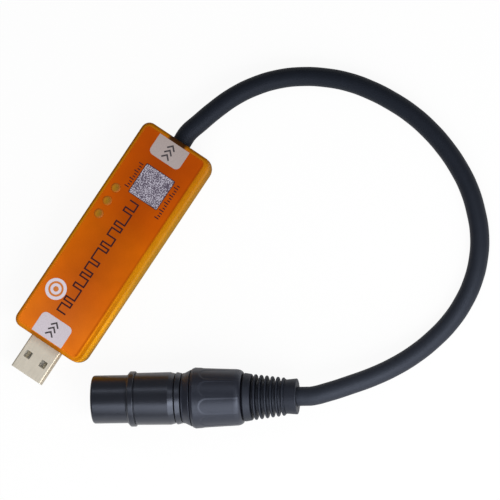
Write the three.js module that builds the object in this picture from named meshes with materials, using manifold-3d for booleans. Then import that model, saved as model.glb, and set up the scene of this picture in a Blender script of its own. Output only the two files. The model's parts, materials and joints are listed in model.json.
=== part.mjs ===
// A pocket lighting interface: a flat two-shell housing with a USB-A plug at one end, and a short
// cable at the other that ends in a black three-pole female cable connector.
// Millimetres, +Z up. +X runs along the housing from the plug's tip to the cable. The origin lies
// on the table, under the middle of the housing and plug.
import * as THREE from "three";
import { mergeVertices } from "three/addons/utils/BufferGeometryUtils.js";
import Module from "manifold-3d";

const wasm = await Module();
wasm.setup();

const degrees = Math.PI / 180;

// Working clearances
const fitGap = 0.3;
const cutOverrun = 1;
const weldDistance = 0.001;

// Facets of the round forms
const fineSides = 48;
const roundSides = 28;
const smallSides = 16;
const cordSides = 10;
const wireSides = 8;
const wireSteps = 8;
const cornerSteps = 4;
const edgeSteps = 3;

// Housing: two shells that meet halfway up
const housingLength = 82.8;
const housingWidth = 27;
const housingHeight = 13.4;
const housingCornerRadius = 3;
const housingEdgeRadius = 1.3;
const housingWall = 1.7;
const seamGap = 0.3;
const lipThickness = 0.7;
const lipHeight = 1.2;
const bossRadius = 2;
const bossPinRadius = 1;
const bossPinDepth = 3;
const bossWallGap = 0.5;
const frontBossSetback = 9.55;
const saddleSetback = 4.65;
const saddleThickness = 1.4;
const ribThickness = 1.2;
const ribPlaceShares = [0.2, 0.5, 0.85];

// USB-A plug
const plugWidth = 12;
const plugHeight = 4.5;
const plugExposed = 12.7;
const plugInside = 6.05;
const plugWall = 0.3;
const plugCornerRadius = 0.5;
const plugWindowLength = 2.3;
const plugWindowWidth = 2;
const plugWindowSetback = 6.2;
const plugWindowSpacing = 6.2;
const plugLegWidth = 1.6;
const plugLegSetback = 1;
const tongueThickness = 1.84;
const tongueSetback = 0.5;
const tongueReach = 11.75;
const contactWidth = 1;
const contactThickness = 0.25;
const contactInnerOffset = 1;
const contactOuterOffset = 3.5;
const contactOuterSetback = 1.4;
const contactInnerSetback = 2.4;
const contactTailReach = 0.6;
const contactFootLength = 1;

// Circuit board and what is soldered to it
const boardThickness = 1.6;
const boardSideGap = 0.5;
const cableRoom = 12.8;
const pinHeightShare = 0.6;
const pinRootShare = 0.1;
const boardMargin = 1;
const partGap = 1;
const processor = { length: 7, width: 7, height: 1.4, pins: 8, pinWidth: 0.35, pinReach: 1 };
const usbBridge = { length: 4.9, width: 3.9, height: 1.5, pins: 8, pinWidth: 0.3, pinReach: 1.05 };
const lineDriver = { length: 4.9, width: 3.9, height: 1.5, pins: 4, pinWidth: 0.45, pinReach: 1.05 };
const regulator = { length: 2.9, width: 1.6, height: 1.1, pins: 3, pinWidth: 0.4, pinReach: 0.6 };
const crystalLength = 5;
const crystalWidth = 3.2;
const crystalHeight = 1.2;
const crystalCornerRadius = 0.4;
const moduleLength = 13;
const moduleWidth = 12;
const moduleThickness = 0.8;
const shieldLength = 9;
const shieldWidth = 9.6;
const shieldHeight = 1.8;
const shieldCornerRadius = 0.6;
const shieldSetback = 0.8;
const chipPartLength = 2;
const chipPartWidth = 1.25;
const chipPartHeight = 0.55;
const chipPartEndShare = 0.22;
const chipPartBodyShare = 0.9;
const canRadius = 2.5;
const canHeight = 5.4;
const canBaseHeight = 0.8;
const canBaseMargin = 0.15;
const ledRadius = 1.5;
const ledRimWidth = 0.4;
const ledRimHeight = 1;
const ledHeight = 5.3;
const ledProud = 0.3;
const ledHoleGap = 0.2;
const ledPitch = 5.25;
const ledFromCableEnd = 25.35;
const ledFromSide = 4.45;
const ledLeadSpacing = 2.54;
const ledLeadThickness = 0.5;
const resistorSetback = 4.2;

const wirePadShares = [-0.3, 0, 0.3];
const wirePadSetback = 3;

// Cable
const cableDiameter = 6.5;
const jacketSetback = 2.2;
const wireRadius = 0.6;
const wireBundleRadius = 1.7;
const wireBend = 2.4;
const tieWidth = 2.4;
const tieThickness = 0.8;
const tieHeadReach = 2.6;
const tieHeadHeight = 4.2;

// Cable connector, measured along its axis from the front face
const connectorFrontX = -41.96;
const connectorFrontY = -24.67;
const connectorTurn = -55.8 * degrees;
const latchTurn = -135 * degrees;
const noseRadius = 8.2;
const noseLength = 12.64;
const noseEdge = 0.8;
const grooveWidth = 0.2;
const grooveDepth = 0.25;
const collarRadius = 9.45;
const collarLength = 2.19;
const collarEdge = 0.3;
const barrelFrontRadius = 8.87;
const barrelRearRadius = 8.98;
const barrelLength = 11.76;
const shoulderRadius = 8.45;
const shoulderLength = 1.89;
const shoulderDropShare = 1 / 3;
const shellBoreRadius = 7.1;
const ringRadius = 8.85;
const ringLength = 1.89;
const ringEdge = 0.3;
const coneFrontRadius = 8.6;
const coneRearRadius = 9.8;
const coneLength = 2.99;
const coneLandShare = 0.2;
const sleeveReach = 1.48;
const sleeveBoreRadius = 5.3;
const threadRadius = 7.2;
const threadLength = 9.8;
const nutRadius = 10.4;
const nutLength = 17.34;
const nutChamferLength = 0.9;
const nutChamferDepth = 0.4;
const nutTaper = 0.7;
const nutRoundLength = 2.6;
const nutRoundDepth = 1.3;
const nutRoundShares = [
  [0.5, 0.14],
  [0.85, 0.48],
];
const nutLedge = 4.5;
const fluteCount = 10;
const fluteWidth = 5.2;
const fluteDepth = 0.42;
const fluteSetback = 3.19;
const fluteTurn = -12.8 * degrees;
const bootFlangeLength = 1.7;
const bootFlangeStep = 0.9;
const bootCollarGap = 0.4;
const bootCollarLength = 2.7;
const bootCollarFrontRadius = 8.35;
const bootCollarRearRadius = 7.9;
const bootCoreRadius = 5.9;
const bootRibCount = 6;
const bootRibPitch = 1.909;
const bootRibPlaceShare = 2 / 3;
const bootRibRoot = 1.2;
const bootRibTip = 0.7;
const bootRibRound = 0.18;
const bootFirstRibRadius = 7.8;
const bootLastRibRadius = 6.55;
const bootEndLength = 4.1;
const bootEndFrontRadius = 5.8;
const bootEndRearRadius = 6.15;
const chuckSetback = 1.8;
const chuckSlotCount = 4;
const chuckSlotWidth = 0.8;
const chuckSlotShare = 0.6;

// Connector's insert, contacts and latch
const insertSetback = 0.8;
const poleCircleRadius = 4.15;
const poleAngles = [60 * degrees, -60 * degrees, 180 * degrees];
const socketBoreRadius = 1.25;
const socketRadius = 1.7;
const socketSetback = 1;
const socketBoreDepth = 10;
const socketBarrelLength = 15.2;
const solderCupRadius = 1.3;
const solderCupBore = 0.8;
const solderCupDepth = 3;
const contactTailLength = 3.9;
const contactTailGap = 0.7;
const latchHalfWidth = 1.9;
const latchTopRadius = 7.9;
const latchThickness = 1.2;
const hookSetback = 4.5;
const hookLength = 2.9;
const hookHeight = 1.1;
const hookFlatShare = 0.3;
const tabLength = 4.9;
const tabHalfWidth = 2.5;
const tabRadius = 10.1;
const tabFootRadius = 7.4;
const tabEdge = 0.4;
const tabRidgeCount = 3;
const tabRidgeDepth = 0.25;
const pivotSetback = 1.1;
const pivotRadius = 0.65;
const pivotHeight = 5.6;
const pivotHalfLength = 2.5;
const pivotTabGap = 0.9;
const latchTravel = 5 * degrees;
const latchWellRadius = 4.6;
const springThickness = 0.3;
const springHalfWidth = 1.2;
const springFootLength = 4.8;
const springArmLength = 5.5;
const springSetback = 1.7;

// Places that follow from the sizes
const plugLength = plugExposed + plugInside;
const overallLength = plugExposed + housingLength;
const plugTipX = -overallLength / 2;
const housingFrontX = plugTipX + plugExposed;
const housingEndX = overallLength / 2;
const plugRearX = plugTipX + plugLength;
const seamZ = housingHeight / 2;
const floorZ = housingWall;
const lidInnerZ = housingHeight - housingWall;
const lowerTopZ = seamZ - seamGap / 2;
const upperBottomZ = seamZ + seamGap / 2;
const innerHalfWidth = housingWidth / 2 - housingWall;
const cableRadius = cableDiameter / 2;
const cableHoleRadius = cableRadius + fitGap;

const boardTopZ = seamZ - plugHeight / 2;
const boardBottomZ = boardTopZ - boardThickness;
const boardFrontX = housingFrontX + housingWall + fitGap;
const boardEndX = housingEndX - cableRoom;
const boardLength = boardEndX - boardFrontX;
const boardHalfWidth = innerHalfWidth - boardSideGap;
const jacketEndX = boardEndX + jacketSetback;

const bossY = innerHalfWidth - bossRadius - bossWallGap;
const frontBossX = housingFrontX + frontBossSetback;
const saddleX = housingEndX - saddleSetback;
const bossPlaces = [
  [frontBossX, bossY],
  [frontBossX, -bossY],
  [saddleX, bossY],
  [saddleX, -bossY],
];
const rootDepth = housingWall / 2;
const tieX = (jacketEndX + saddleX - saddleThickness / 2) / 2;
const tieRadius = cableHoleRadius + tieThickness;

const ledY = housingWidth / 2 - ledFromSide;
const ledBaseZ = housingHeight + ledProud - ledHeight;
const ledPlaces = [2, 1, 0].map((count) => housingEndX - ledFromCableEnd - count * ledPitch);

// The board's parts stand in columns from its plug end to its cable end, with like gaps between
const columnLengths = [
  moduleLength,
  Math.max(usbBridge.length, crystalLength),
  processor.length + 2 * processor.pinReach,
  2 * (canRadius + canBaseMargin),
  lineDriver.length,
];
const columnsStart = frontBossX + bossRadius + fitGap;
const columnsEnd = boardEndX - wirePadSetback - wireRadius;
const columnsLength = columnLengths.reduce((total, length) => total + length);
const columnGap = (columnsEnd - columnsStart - columnsLength) / (columnLengths.length + 1);

const collarEnd = noseLength + collarLength;
const barrelStart = collarEnd + grooveWidth;
const shellEnd = barrelStart + barrelLength + shoulderLength;
const ringStart = shellEnd + fitGap;
const coneStart = ringStart + ringLength + fitGap;
const coneEnd = coneStart + coneLength;
const threadEnd = coneEnd + threadLength;
const chuckLength = threadLength - chuckSetback;
const nutStart = coneEnd + fitGap;
const nutEnd = nutStart + nutLength;
const nutBoreRadius = threadRadius + fitGap;
const bootNeckRadius = threadRadius - bootFlangeStep;
const bootCollarStart = nutEnd + bootCollarGap;
const bootRibsStart = bootCollarStart + bootCollarLength;
const bootEndStart = bootRibsStart + bootRibCount * bootRibPitch;
const connectorLength = bootEndStart + bootEndLength;
const sleeveStart = shellEnd - sleeveReach;
const sleeveRadius = shellBoreRadius - fitGap;
const contactEnd = sleeveStart - contactTailGap;
const insertEnd = contactEnd - contactTailLength;
const pivotAlong = insertEnd - pivotSetback;
const tabEnd = pivotAlong - pivotTabGap;
const tabStart = tabEnd - tabLength;
const tabLean = (barrelRearRadius - pivotHeight) * Math.sin(latchTravel);
const tabWindowStart = tabStart - tabLean - fitGap;
const innerJacketStart = coneEnd - coneLength / 2;
const connectorAxisHeight = Math.max(nutRadius, collarRadius);
const connectorAxis = new THREE.Vector3(Math.cos(connectorTurn), Math.sin(connectorTurn), 0);
const connectorFront = new THREE.Vector3(connectorFrontX, connectorFrontY, connectorAxisHeight);

// The cable's free route over the table, from the housing to the connector's boot
const cordRoute = [
  [51.5, 0, 6.7],
  [56.5, -1.3, 6.5],
  [63.2, -3.2, 6],
  [70.7, -6, 5.3],
  [77.7, -10, 4.5],
  [83.9, -15.1, 3.8],
  [89.1, -21.3, 3.4],
  [93.3, -28.4, 3.3],
  [96.4, -35.9, 3.3],
  [98.3, -43.9, 3.3],
  [99.2, -52.1, 3.3],
  [99.2, -60.3, 3.3],
  [98.1, -68.4, 3.3],
  [96, -76.3, 3.3],
  [92.9, -84, 3.3],
  [88.9, -91.1, 3.3],
  [83.8, -97.4, 3.3],
  [77.8, -103, 3.3],
  [70.9, -107.2, 3.3],
  [63.3, -110, 3.3],
  [55.3, -111.3, 3.3],
  [47.3, -111.2, 3.3],
  [39.3, -109.8, 3.8],
  [31.6, -107.5, 4.9],
  [24.3, -104.3, 6.3],
  [17.4, -100.3, 7.8],
  [10.8, -95.6, 9.2],
  [5, -91.1, 10.1],
  [0.3, -86.8, 10.4],
];
const cordSteps = 18;

function finish(colour, roughness, metalness, opacity) {
  const material = new THREE.MeshStandardMaterial({ color: colour, roughness, metalness });
  if (opacity !== undefined) {
    material.transparent = true;
    material.opacity = opacity;
  }
  return material;
}

const finishes = {
  lid: finish(0xb4541a, 0.35, 0, 0.92),
  tray: finish(0xd98f16, 0.3, 0, 0.92),
  plugSteel: finish(0xc7c0b0, 0.32, 1),
  tongue: finish(0xe9e7e0, 0.5, 0),
  gold: finish(0xd9b45a, 0.3, 1),
  board: finish(0x1f5a34, 0.45, 0),
  chip: finish(0x1c1d20, 0.5, 0),
  can: finish(0xb9bcc0, 0.35, 1),
  ceramic: finish(0xb9a283, 0.6, 0),
  led: finish(0xa8862a, 0.35, 0),
  tie: finish(0xe4e2da, 0.6, 0),
  jacket: finish(0x1e2129, 0.55, 0),
  wires: [finish(0xe8e6e0, 0.5, 0), finish(0xb0281e, 0.5, 0), finish(0x2a2a2d, 0.5, 0)],
  blackShell: finish(0x24252c, 0.35, 0.3),
  blackPlastic: finish(0x24272f, 0.5, 0),
  blackRubber: finish(0x22252d, 0.6, 0),
  springSteel: finish(0x9fa2a6, 0.3, 1),
};

// A closed geometry as a solid that can be joined and cut
function solidOf(geometry) {
  const plain = geometry.index ? geometry.toNonIndexed() : geometry.clone();
  plain.deleteAttribute("normal");
  plain.deleteAttribute("uv");
  const merged = mergeVertices(plain, weldDistance);
  return new wasm.Manifold(
    new wasm.Mesh({
      numProp: 3,
      vertProperties: merged.getAttribute("position").array,
      triVerts: new Uint32Array(merged.index.array),
    }),
  );
}

function geometryOf(solid) {
  const mesh = solid.getMesh();
  const indexed = new THREE.BufferGeometry();
  indexed.setAttribute("position", new THREE.BufferAttribute(mesh.vertProperties, mesh.numProp));
  indexed.setIndex(new THREE.BufferAttribute(mesh.triVerts, 1));
  const geometry = indexed.toNonIndexed();
  geometry.computeVertexNormals();
  return geometry;
}

function piece(name, solid, material) {
  const mesh = new THREE.Mesh(geometryOf(solid), material);
  mesh.name = name;
  return mesh;
}

function joined(solids) {
  return solids.reduce((whole, next) => whole.add(next));
}

function cutFrom(solid, tools) {
  return tools.reduce((rest, tool) => rest.subtract(tool), solid);
}

// A box between two values on each axis
function block([x0, x1], [y0, y1], [z0, z1]) {
  const geometry = new THREE.BoxGeometry(x1 - x0, y1 - y0, z1 - z0);
  geometry.translate((x0 + x1) / 2, (y0 + y1) / 2, (z0 + z1) / 2);
  return solidOf(geometry);
}

function span(centre, size) {
  return [centre - size / 2, centre + size / 2];
}

function across(halfSize) {
  return [-halfSize, halfSize];
}

// A round bar that stands on the point (x, y)
function post(radius, [x, y], [z0, z1], sides = smallSides) {
  const geometry = new THREE.CylinderGeometry(radius, radius, z1 - z0, sides);
  geometry.rotateX(Math.PI / 2);
  geometry.translate(x, y, (z0 + z1) / 2);
  return solidOf(geometry);
}

// A round bar that lies along X through the point (y, z)
function bar(radius, [x0, x1], [y, z], sides = roundSides) {
  const geometry = new THREE.CylinderGeometry(radius, radius, x1 - x0, sides);
  geometry.rotateZ(-Math.PI / 2);
  geometry.translate((x0 + x1) / 2, y, z);
  return solidOf(geometry);
}

// A turned form about X. Its profile lists [along, radius], the outside from front to rear first.
function turnedAlongX(profile, sides = roundSides) {
  const points = profile.map(([along, radius]) => new THREE.Vector2(radius, along));
  if (points[0].x > 0) {
    points.push(points[0].clone());
  }
  const geometry = new THREE.LatheGeometry(points, sides);
  geometry.rotateZ(-Math.PI / 2);
  return solidOf(geometry);
}

// A turned form about Z, with a profile of [radius, height] from the bottom up
function turnedUp(profile, sides = smallSides) {
  const points = profile.map(([radius, height]) => new THREE.Vector2(radius, height));
  const geometry = new THREE.LatheGeometry(points, sides);
  geometry.rotateX(Math.PI / 2);
  return solidOf(geometry);
}

function roundedRectangle([x0, x1], [y0, y1], radius) {
  const shape = new THREE.Shape();
  shape.moveTo(x0 + radius, y0);
  shape.lineTo(x1 - radius, y0);
  shape.absarc(x1 - radius, y0 + radius, radius, -Math.PI / 2, 0);
  shape.lineTo(x1, y1 - radius);
  shape.absarc(x1 - radius, y1 - radius, radius, 0, Math.PI / 2);
  shape.lineTo(x0 + radius, y1);
  shape.absarc(x0 + radius, y1 - radius, radius, Math.PI / 2, Math.PI);
  shape.lineTo(x0, y0 + radius);
  shape.absarc(x0 + radius, y0 + radius, radius, Math.PI, Math.PI * 1.5);
  return shape;
}

function outline(points) {
  return new THREE.Shape(points.map(([x, y]) => new THREE.Vector2(x, y)));
}

// An outline in X and Y raised from z0 to z1, with its edges rounded where edge isn't zero
function raised(shape, [z0, z1], edge = 0) {
  const geometry = new THREE.ExtrudeGeometry(shape, {
    depth: z1 - z0 - 2 * edge,
    curveSegments: cornerSteps,
    bevelEnabled: edge > 0,
    bevelThickness: edge,
    bevelSize: edge,
    bevelOffset: -edge,
    bevelSegments: edgeSteps,
  });
  geometry.translate(0, 0, z0 + edge);
  return geometry;
}

// An outline in Y and Z drawn along X
function drawnAlongX(shape, [x0, x1]) {
  const geometry = raised(shape, [x0, x1]);
  const turn = new THREE.Matrix4().makeBasis(
    new THREE.Vector3(0, 1, 0),
    new THREE.Vector3(0, 0, 1),
    new THREE.Vector3(1, 0, 0),
  );
  return solidOf(geometry.applyMatrix4(turn));
}

// An outline in X and Z drawn to both sides of Y = centre
function drawnAcrossY(shape, halfWidth, centre = 0) {
  const geometry = raised(shape, across(halfWidth));
  geometry.rotateX(Math.PI / 2);
  geometry.translate(0, centre, 0);
  return solidOf(geometry);
}

function tube(curve, radius, sides, steps) {
  const section = new THREE.Shape();
  section.absarc(0, 0, radius, 0, Math.PI * 2);
  const ring = new THREE.Shape(section.getSpacedPoints(sides).slice(0, sides));
  const geometry = new THREE.ExtrudeGeometry(ring, { extrudePath: curve, steps });
  return solidOf(geometry);
}

// Housing

function housingPlan(inset) {
  return roundedRectangle(
    [housingFrontX + inset, housingEndX - inset],
    across(housingWidth / 2 - inset),
    housingCornerRadius - inset,
  );
}

function housingHalf(heights) {
  const outside = solidOf(raised(housingPlan(0), [0, housingHeight], housingEdgeRadius));
  const cavity = solidOf(raised(housingPlan(housingWall), [floorZ, lidInnerZ]));
  const slice = block(
    [housingFrontX - cutOverrun, housingEndX + cutOverrun],
    across(housingWidth / 2 + cutOverrun),
    heights,
  );
  return outside.intersect(slice).subtract(cavity);
}

function plugOpening() {
  const shape = roundedRectangle(
    across(plugWidth / 2 + fitGap),
    [boardTopZ - fitGap, boardTopZ + plugHeight + fitGap],
    plugCornerRadius + fitGap,
  );
  return drawnAlongX(shape, [housingFrontX - cutOverrun, housingFrontX + housingWall + cutOverrun]);
}

function cableOpenings() {
  return [
    bar(cableHoleRadius, [saddleX - saddleThickness, housingEndX + cutOverrun], [0, seamZ]),
    bar(tieRadius + fitGap, span(tieX, tieWidth + 2 * fitGap), [0, seamZ]),
  ];
}

function saddleRib(heights) {
  return block(span(saddleX, saddleThickness), across(innerHalfWidth + rootDepth), heights);
}

function bottomShell() {
  const lipBase = lowerTopZ - lipThickness;
  const lip = solidOf(raised(housingPlan(housingWall - lipThickness), [lipBase, lowerTopZ + lipHeight]));
  const lipInside = solidOf(
    raised(housingPlan(housingWall), [lipBase - cutOverrun, lowerTopZ + lipHeight + cutOverrun]),
  );
  const ribs = ribPlaceShares.map((share) =>
    block(
      span(boardFrontX + share * boardLength, ribThickness),
      across(innerHalfWidth + rootDepth),
      [floorZ - rootDepth, boardBottomZ],
    ),
  );
  const bosses = bossPlaces.map((place) => post(bossRadius, place, [floorZ - rootDepth, lowerTopZ]));
  const bores = bossPlaces.map((place) =>
    post(bossPinRadius + fitGap, place, [lowerTopZ - bossPinDepth - fitGap, lowerTopZ + cutOverrun]),
  );
  const whole = joined([
    housingHalf([-cutOverrun, lowerTopZ]),
    lip.subtract(lipInside),
    saddleRib([floorZ - rootDepth, lowerTopZ]),
    ...ribs,
    ...bosses,
  ]);
  const shell = cutFrom(whole, [plugOpening(), ...cableOpenings(), ...bores]);
  return piece("bottom_shell", shell, finishes.tray);
}

function topShell() {
  const rabbet = solidOf(
    raised(housingPlan(housingWall - lipThickness - fitGap), [
      upperBottomZ - cutOverrun,
      lowerTopZ + lipHeight + fitGap,
    ]),
  );
  const bosses = bossPlaces.map((place) => post(bossRadius, place, [upperBottomZ, lidInnerZ + rootDepth]));
  const pinHeights = [lowerTopZ - bossPinDepth, lidInnerZ];
  const pins = bossPlaces.map((place) => post(bossPinRadius, place, pinHeights));
  const saddle = saddleRib([upperBottomZ, lidInnerZ + rootDepth]);
  const ledHoles = ledPlaces.map((x) =>
    post(ledRadius + ledHoleGap, [x, ledY], [lidInnerZ - cutOverrun, housingHeight + cutOverrun]),
  );
  const rim = housingHalf([upperBottomZ, housingHeight + cutOverrun]).subtract(rabbet);
  const innerReach = block(
    [housingFrontX, housingEndX],
    across(innerHalfWidth - fitGap),
    [upperBottomZ - cutOverrun, housingHeight],
  );
  const whole = joined([rim, saddle.intersect(innerReach), ...bosses]);
  const opened = cutFrom(whole, [plugOpening(), ...cableOpenings(), ...ledHoles]);
  const shell = joined([opened, ...pins]);
  return piece("top_shell", shell, finishes.lid);
}

// USB plug, in the board's frame: Z = 0 is the board's top, on which the plug lies

function plugShell() {
  const outer = drawnAlongX(
    roundedRectangle(across(plugWidth / 2), [0, plugHeight], plugCornerRadius),
    [plugTipX, plugRearX],
  );
  const bore = drawnAlongX(
    roundedRectangle(
      across(plugWidth / 2 - plugWall),
      [plugWall, plugHeight - plugWall],
      plugCornerRadius - plugWall,
    ),
    [plugTipX - cutOverrun, plugRearX + cutOverrun],
  );
  const windows = [-1, 1].map((side) =>
    block(
      span(plugTipX + plugWindowSetback, plugWindowLength),
      span((side * plugWindowSpacing) / 2, plugWindowWidth),
      [-cutOverrun, plugHeight + cutOverrun],
    ),
  );
  const legs = [-1, 1].map((side) =>
    block(
      plugLegAlong(),
      span(side * (plugWidth / 2 - plugWall / 2), plugWall),
      [-boardThickness, plugHeight / 2],
    ),
  );
  const whole = joined([cutFrom(outer, [bore, ...windows]), ...legs]);
  return piece("usb_plug_shell", whole, finishes.plugSteel);
}

function plugLegAlong() {
  return [boardFrontX + plugLegSetback, boardFrontX + plugLegSetback + plugLegWidth];
}

function plugContactOffsets() {
  return [-contactOuterOffset, -contactInnerOffset, contactInnerOffset, contactOuterOffset];
}

function plugTongue() {
  const halfWidth = plugWidth / 2 - plugWall - fitGap;
  const topZ = plugWall + tongueThickness;
  const tongue = block([plugTipX + tongueSetback, plugRearX - fitGap], across(halfWidth), [plugWall, topZ]);
  const root = block(
    [plugTipX + tongueReach, plugRearX - fitGap],
    across(halfWidth),
    [plugWall, plugHeight - plugWall - fitGap],
  );
  const slots = plugContactOffsets().map((y) =>
    block(
      [plugTipX + tongueReach - cutOverrun, plugRearX + cutOverrun],
      span(y, contactWidth + 2 * fitGap),
      [topZ, topZ + contactThickness + fitGap],
    ),
  );
  return piece("usb_plug_tongue", cutFrom(joined([tongue, root]), slots), finishes.tongue);
}

// A contact lies on the tongue, runs out behind the plug and steps down to the board
function plugContact(index) {
  const y = plugContactOffsets()[index];
  const isOuter = Math.abs(y) > contactInnerOffset;
  const frontX = plugTipX + (isOuter ? contactOuterSetback : contactInnerSetback);
  const bendX = plugRearX + contactTailReach;
  const lowZ = plugWall + tongueThickness;
  const highZ = lowZ + contactThickness;
  const profile = outline([
    [frontX, lowZ],
    [bendX, lowZ],
    [bendX, 0],
    [bendX + contactFootLength, 0],
    [bendX + contactFootLength, contactThickness],
    [bendX + contactThickness, contactThickness],
    [bendX + contactThickness, highZ],
    [frontX, highZ],
  ]);
  return piece("usb_contact_" + (index + 1), drawnAcrossY(profile, contactWidth / 2, y), finishes.gold);
}

// Circuit board, in its own frame

function circuitBoard() {
  const board = block([boardFrontX, boardEndX], across(boardHalfWidth), [-boardThickness, 0]);
  const through = [-boardThickness - cutOverrun, cutOverrun];
  const notches = bossPlaces.map((place) => post(bossRadius + fitGap, place, through));
  const [legFront, legRear] = plugLegAlong();
  const slots = [-1, 1].map((side) =>
    block(
      [legFront - fitGap, legRear + fitGap],
      span(side * (plugWidth / 2 - plugWall / 2), plugWall + 2 * fitGap),
      through,
    ),
  );
  return piece("circuit_board", cutFrom(board, [...notches, ...slots]), finishes.board);
}

// Stacks parts up from the board's edge in one of its columns. Each comes with its width.
function fillColumn(board, index, parts) {
  const before = columnLengths.slice(0, index).reduce((total, length) => total + length, 0);
  const x = columnsStart + (index + 1) * columnGap + before + columnLengths[index] / 2;
  let edge = boardMargin - boardHalfWidth;
  for (const [object, width] of parts) {
    object.position.set(x, edge + width / 2, 0);
    edge += width + partGap;
    board.add(object);
  }
}

function widthWithPins({ width, pinReach }) {
  return width + 2 * pinReach;
}

// A moulded chip with a row of pins along its two long sides, or along all four
function chip(name, { length, width, height, pins, pinWidth, pinReach }, fourSided = false) {
  const body = block(across(length / 2), across(width / 2), [0, height]);
  const pinTop = height * pinHeightShare;
  const solids = [body];
  for (let i = 0; i < pins; i++) {
    const shift = ((i + 0.5) / pins - 0.5) * length;
    const root = width / 2 - width * pinRootShare;
    for (const side of [-1, 1]) {
      const reach = [side * root, side * (width / 2 + pinReach)].sort((a, b) => a - b);
      solids.push(block(span(shift, pinWidth), reach, [0, pinTop]));
      if (fourSided) {
        solids.push(block(reach, span(shift, pinWidth), [0, pinTop]));
      }
    }
  }
  return piece(name, joined(solids), finishes.chip);
}

function crystal() {
  const shape = roundedRectangle(across(crystalLength / 2), across(crystalWidth / 2), crystalCornerRadius);
  return piece("crystal", solidOf(raised(shape, [0, crystalHeight])), finishes.can);
}

function radioModule() {
  const shape = block(across(moduleLength / 2), across(moduleWidth / 2), [0, moduleThickness]);
  return piece("radio_module", shape, finishes.board);
}

function radioShield() {
  const shape = roundedRectangle(across(shieldLength / 2), across(shieldWidth / 2), shieldCornerRadius);
  const mesh = piece("radio_shield", solidOf(raised(shape, [0, shieldHeight])), finishes.can);
  mesh.position.set((moduleLength - shieldLength) / 2 - shieldSetback, 0, moduleThickness);
  return mesh;
}

// A small two-ended part: a body between two slightly larger soldered ends
function chipPart(name, material) {
  const endLength = chipPartLength * chipPartEndShare;
  const body = block(
    across(chipPartLength / 2 - endLength / 2),
    across((chipPartWidth * chipPartBodyShare) / 2),
    [0, chipPartHeight * chipPartBodyShare],
  );
  const ends = [-1, 1].map((side) =>
    block(
      span((side * (chipPartLength - endLength)) / 2, endLength),
      across(chipPartWidth / 2),
      [0, chipPartHeight],
    ),
  );
  return piece(name, joined([body, ...ends]), material);
}

function canCapacitor() {
  const halfBase = canRadius + canBaseMargin;
  const base = block(across(halfBase), across(halfBase), [0, canBaseHeight]);
  return piece("can_capacitor", joined([base, post(canRadius, [0, 0], [0, canHeight])]), finishes.can);
}

// A light-emitting diode stands on two leads and shows its dome in the lid's hole
function led(index) {
  const domeZ = ledHeight - ledRadius;
  const dome = [1, 2, 3].map((step) => {
    const angle = (step * Math.PI) / 8;
    return [ledRadius * Math.cos(angle), domeZ + ledRadius * Math.sin(angle)];
  });
  const bulb = turnedUp([
    [0, 0],
    [ledRadius + ledRimWidth, 0],
    [ledRadius + ledRimWidth, ledRimHeight],
    [ledRadius, ledRimHeight],
    [ledRadius, domeZ],
    ...dome,
    [0, ledHeight],
  ]);
  const leads = [-1, 1].map((side) =>
    block(
      span((side * ledLeadSpacing) / 2, ledLeadThickness),
      across(ledLeadThickness / 2),
      [boardTopZ - ledBaseZ, ledRimHeight / 2],
    ),
  );
  const mesh = piece("led_" + (index + 1), joined([bulb, ...leads]), finishes.led);
  mesh.position.set(ledPlaces[index], ledY, ledBaseZ - boardTopZ);
  return mesh;
}

// Cable inside the housing

function jacketStub() {
  const stub = bar(cableRadius, [jacketEndX, housingEndX], [0, seamZ]);
  return piece("cable_inner_end", stub, finishes.jacket);
}

function cableTie() {
  const along = span(tieX, tieWidth);
  const band = bar(tieRadius, along, [0, seamZ]);
  const head = block(along, [cableRadius, tieRadius + tieHeadReach], span(seamZ, tieHeadHeight));
  const bore = bar(cableHoleRadius, span(tieX, tieWidth + 2 * cutOverrun), [0, seamZ]);
  return piece("cable_tie", joined([band, head]).subtract(bore), finishes.tie);
}

function boardWire(index) {
  const side = index - 1;
  const start = new THREE.Vector3(jacketEndX - fitGap, side * wireBundleRadius, seamZ);
  const padX = boardEndX - wirePadSetback;
  const padY = wirePadShares[index] * boardHalfWidth;
  const end = new THREE.Vector3(padX, padY, boardTopZ + fitGap);
  const path = new THREE.CubicBezierCurve3(
    start,
    start.clone().add(new THREE.Vector3(-wireBend, 0, 0)),
    end.clone().add(new THREE.Vector3(0, 0, wireBend)),
    end,
  );
  const wire = tube(path, wireRadius, wireSides, wireSteps);
  return piece("board_wire_" + (index + 1), wire, finishes.wires[index]);
}

// Free cable

function cord() {
  const ends = [
    new THREE.Vector3(housingEndX + fitGap, 0, seamZ),
    connectorFront.clone().addScaledVector(connectorAxis, connectorLength + fitGap),
  ];
  const straight = connectorFront.clone().addScaledVector(connectorAxis, connectorLength + cableRadius);
  const points = [ends[0], ...cordRoute.map((p) => new THREE.Vector3(...p)), straight, ends[1]];
  const path = new THREE.CatmullRomCurve3(points, false, "centripetal");
  return piece("dmx_cord", tube(path, cableRadius, cordSides, cordSteps), finishes.jacket);
}

// Cable connector, in its own frame: X runs from the front face to the rear, and Z is the side
// of the latch for the pieces that carry it

// The slot is open along the nose, and runs on under the collar to the tab's window
function latchSlot() {
  const reach = across(latchHalfWidth + fitGap);
  return [
    block([-cutOverrun, noseLength], reach, [latchWellRadius, noseRadius + cutOverrun]),
    block(
      [noseLength - cutOverrun, tabWindowStart + fitGap],
      reach,
      [latchWellRadius, latchTopRadius + fitGap],
    ),
  ];
}

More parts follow.
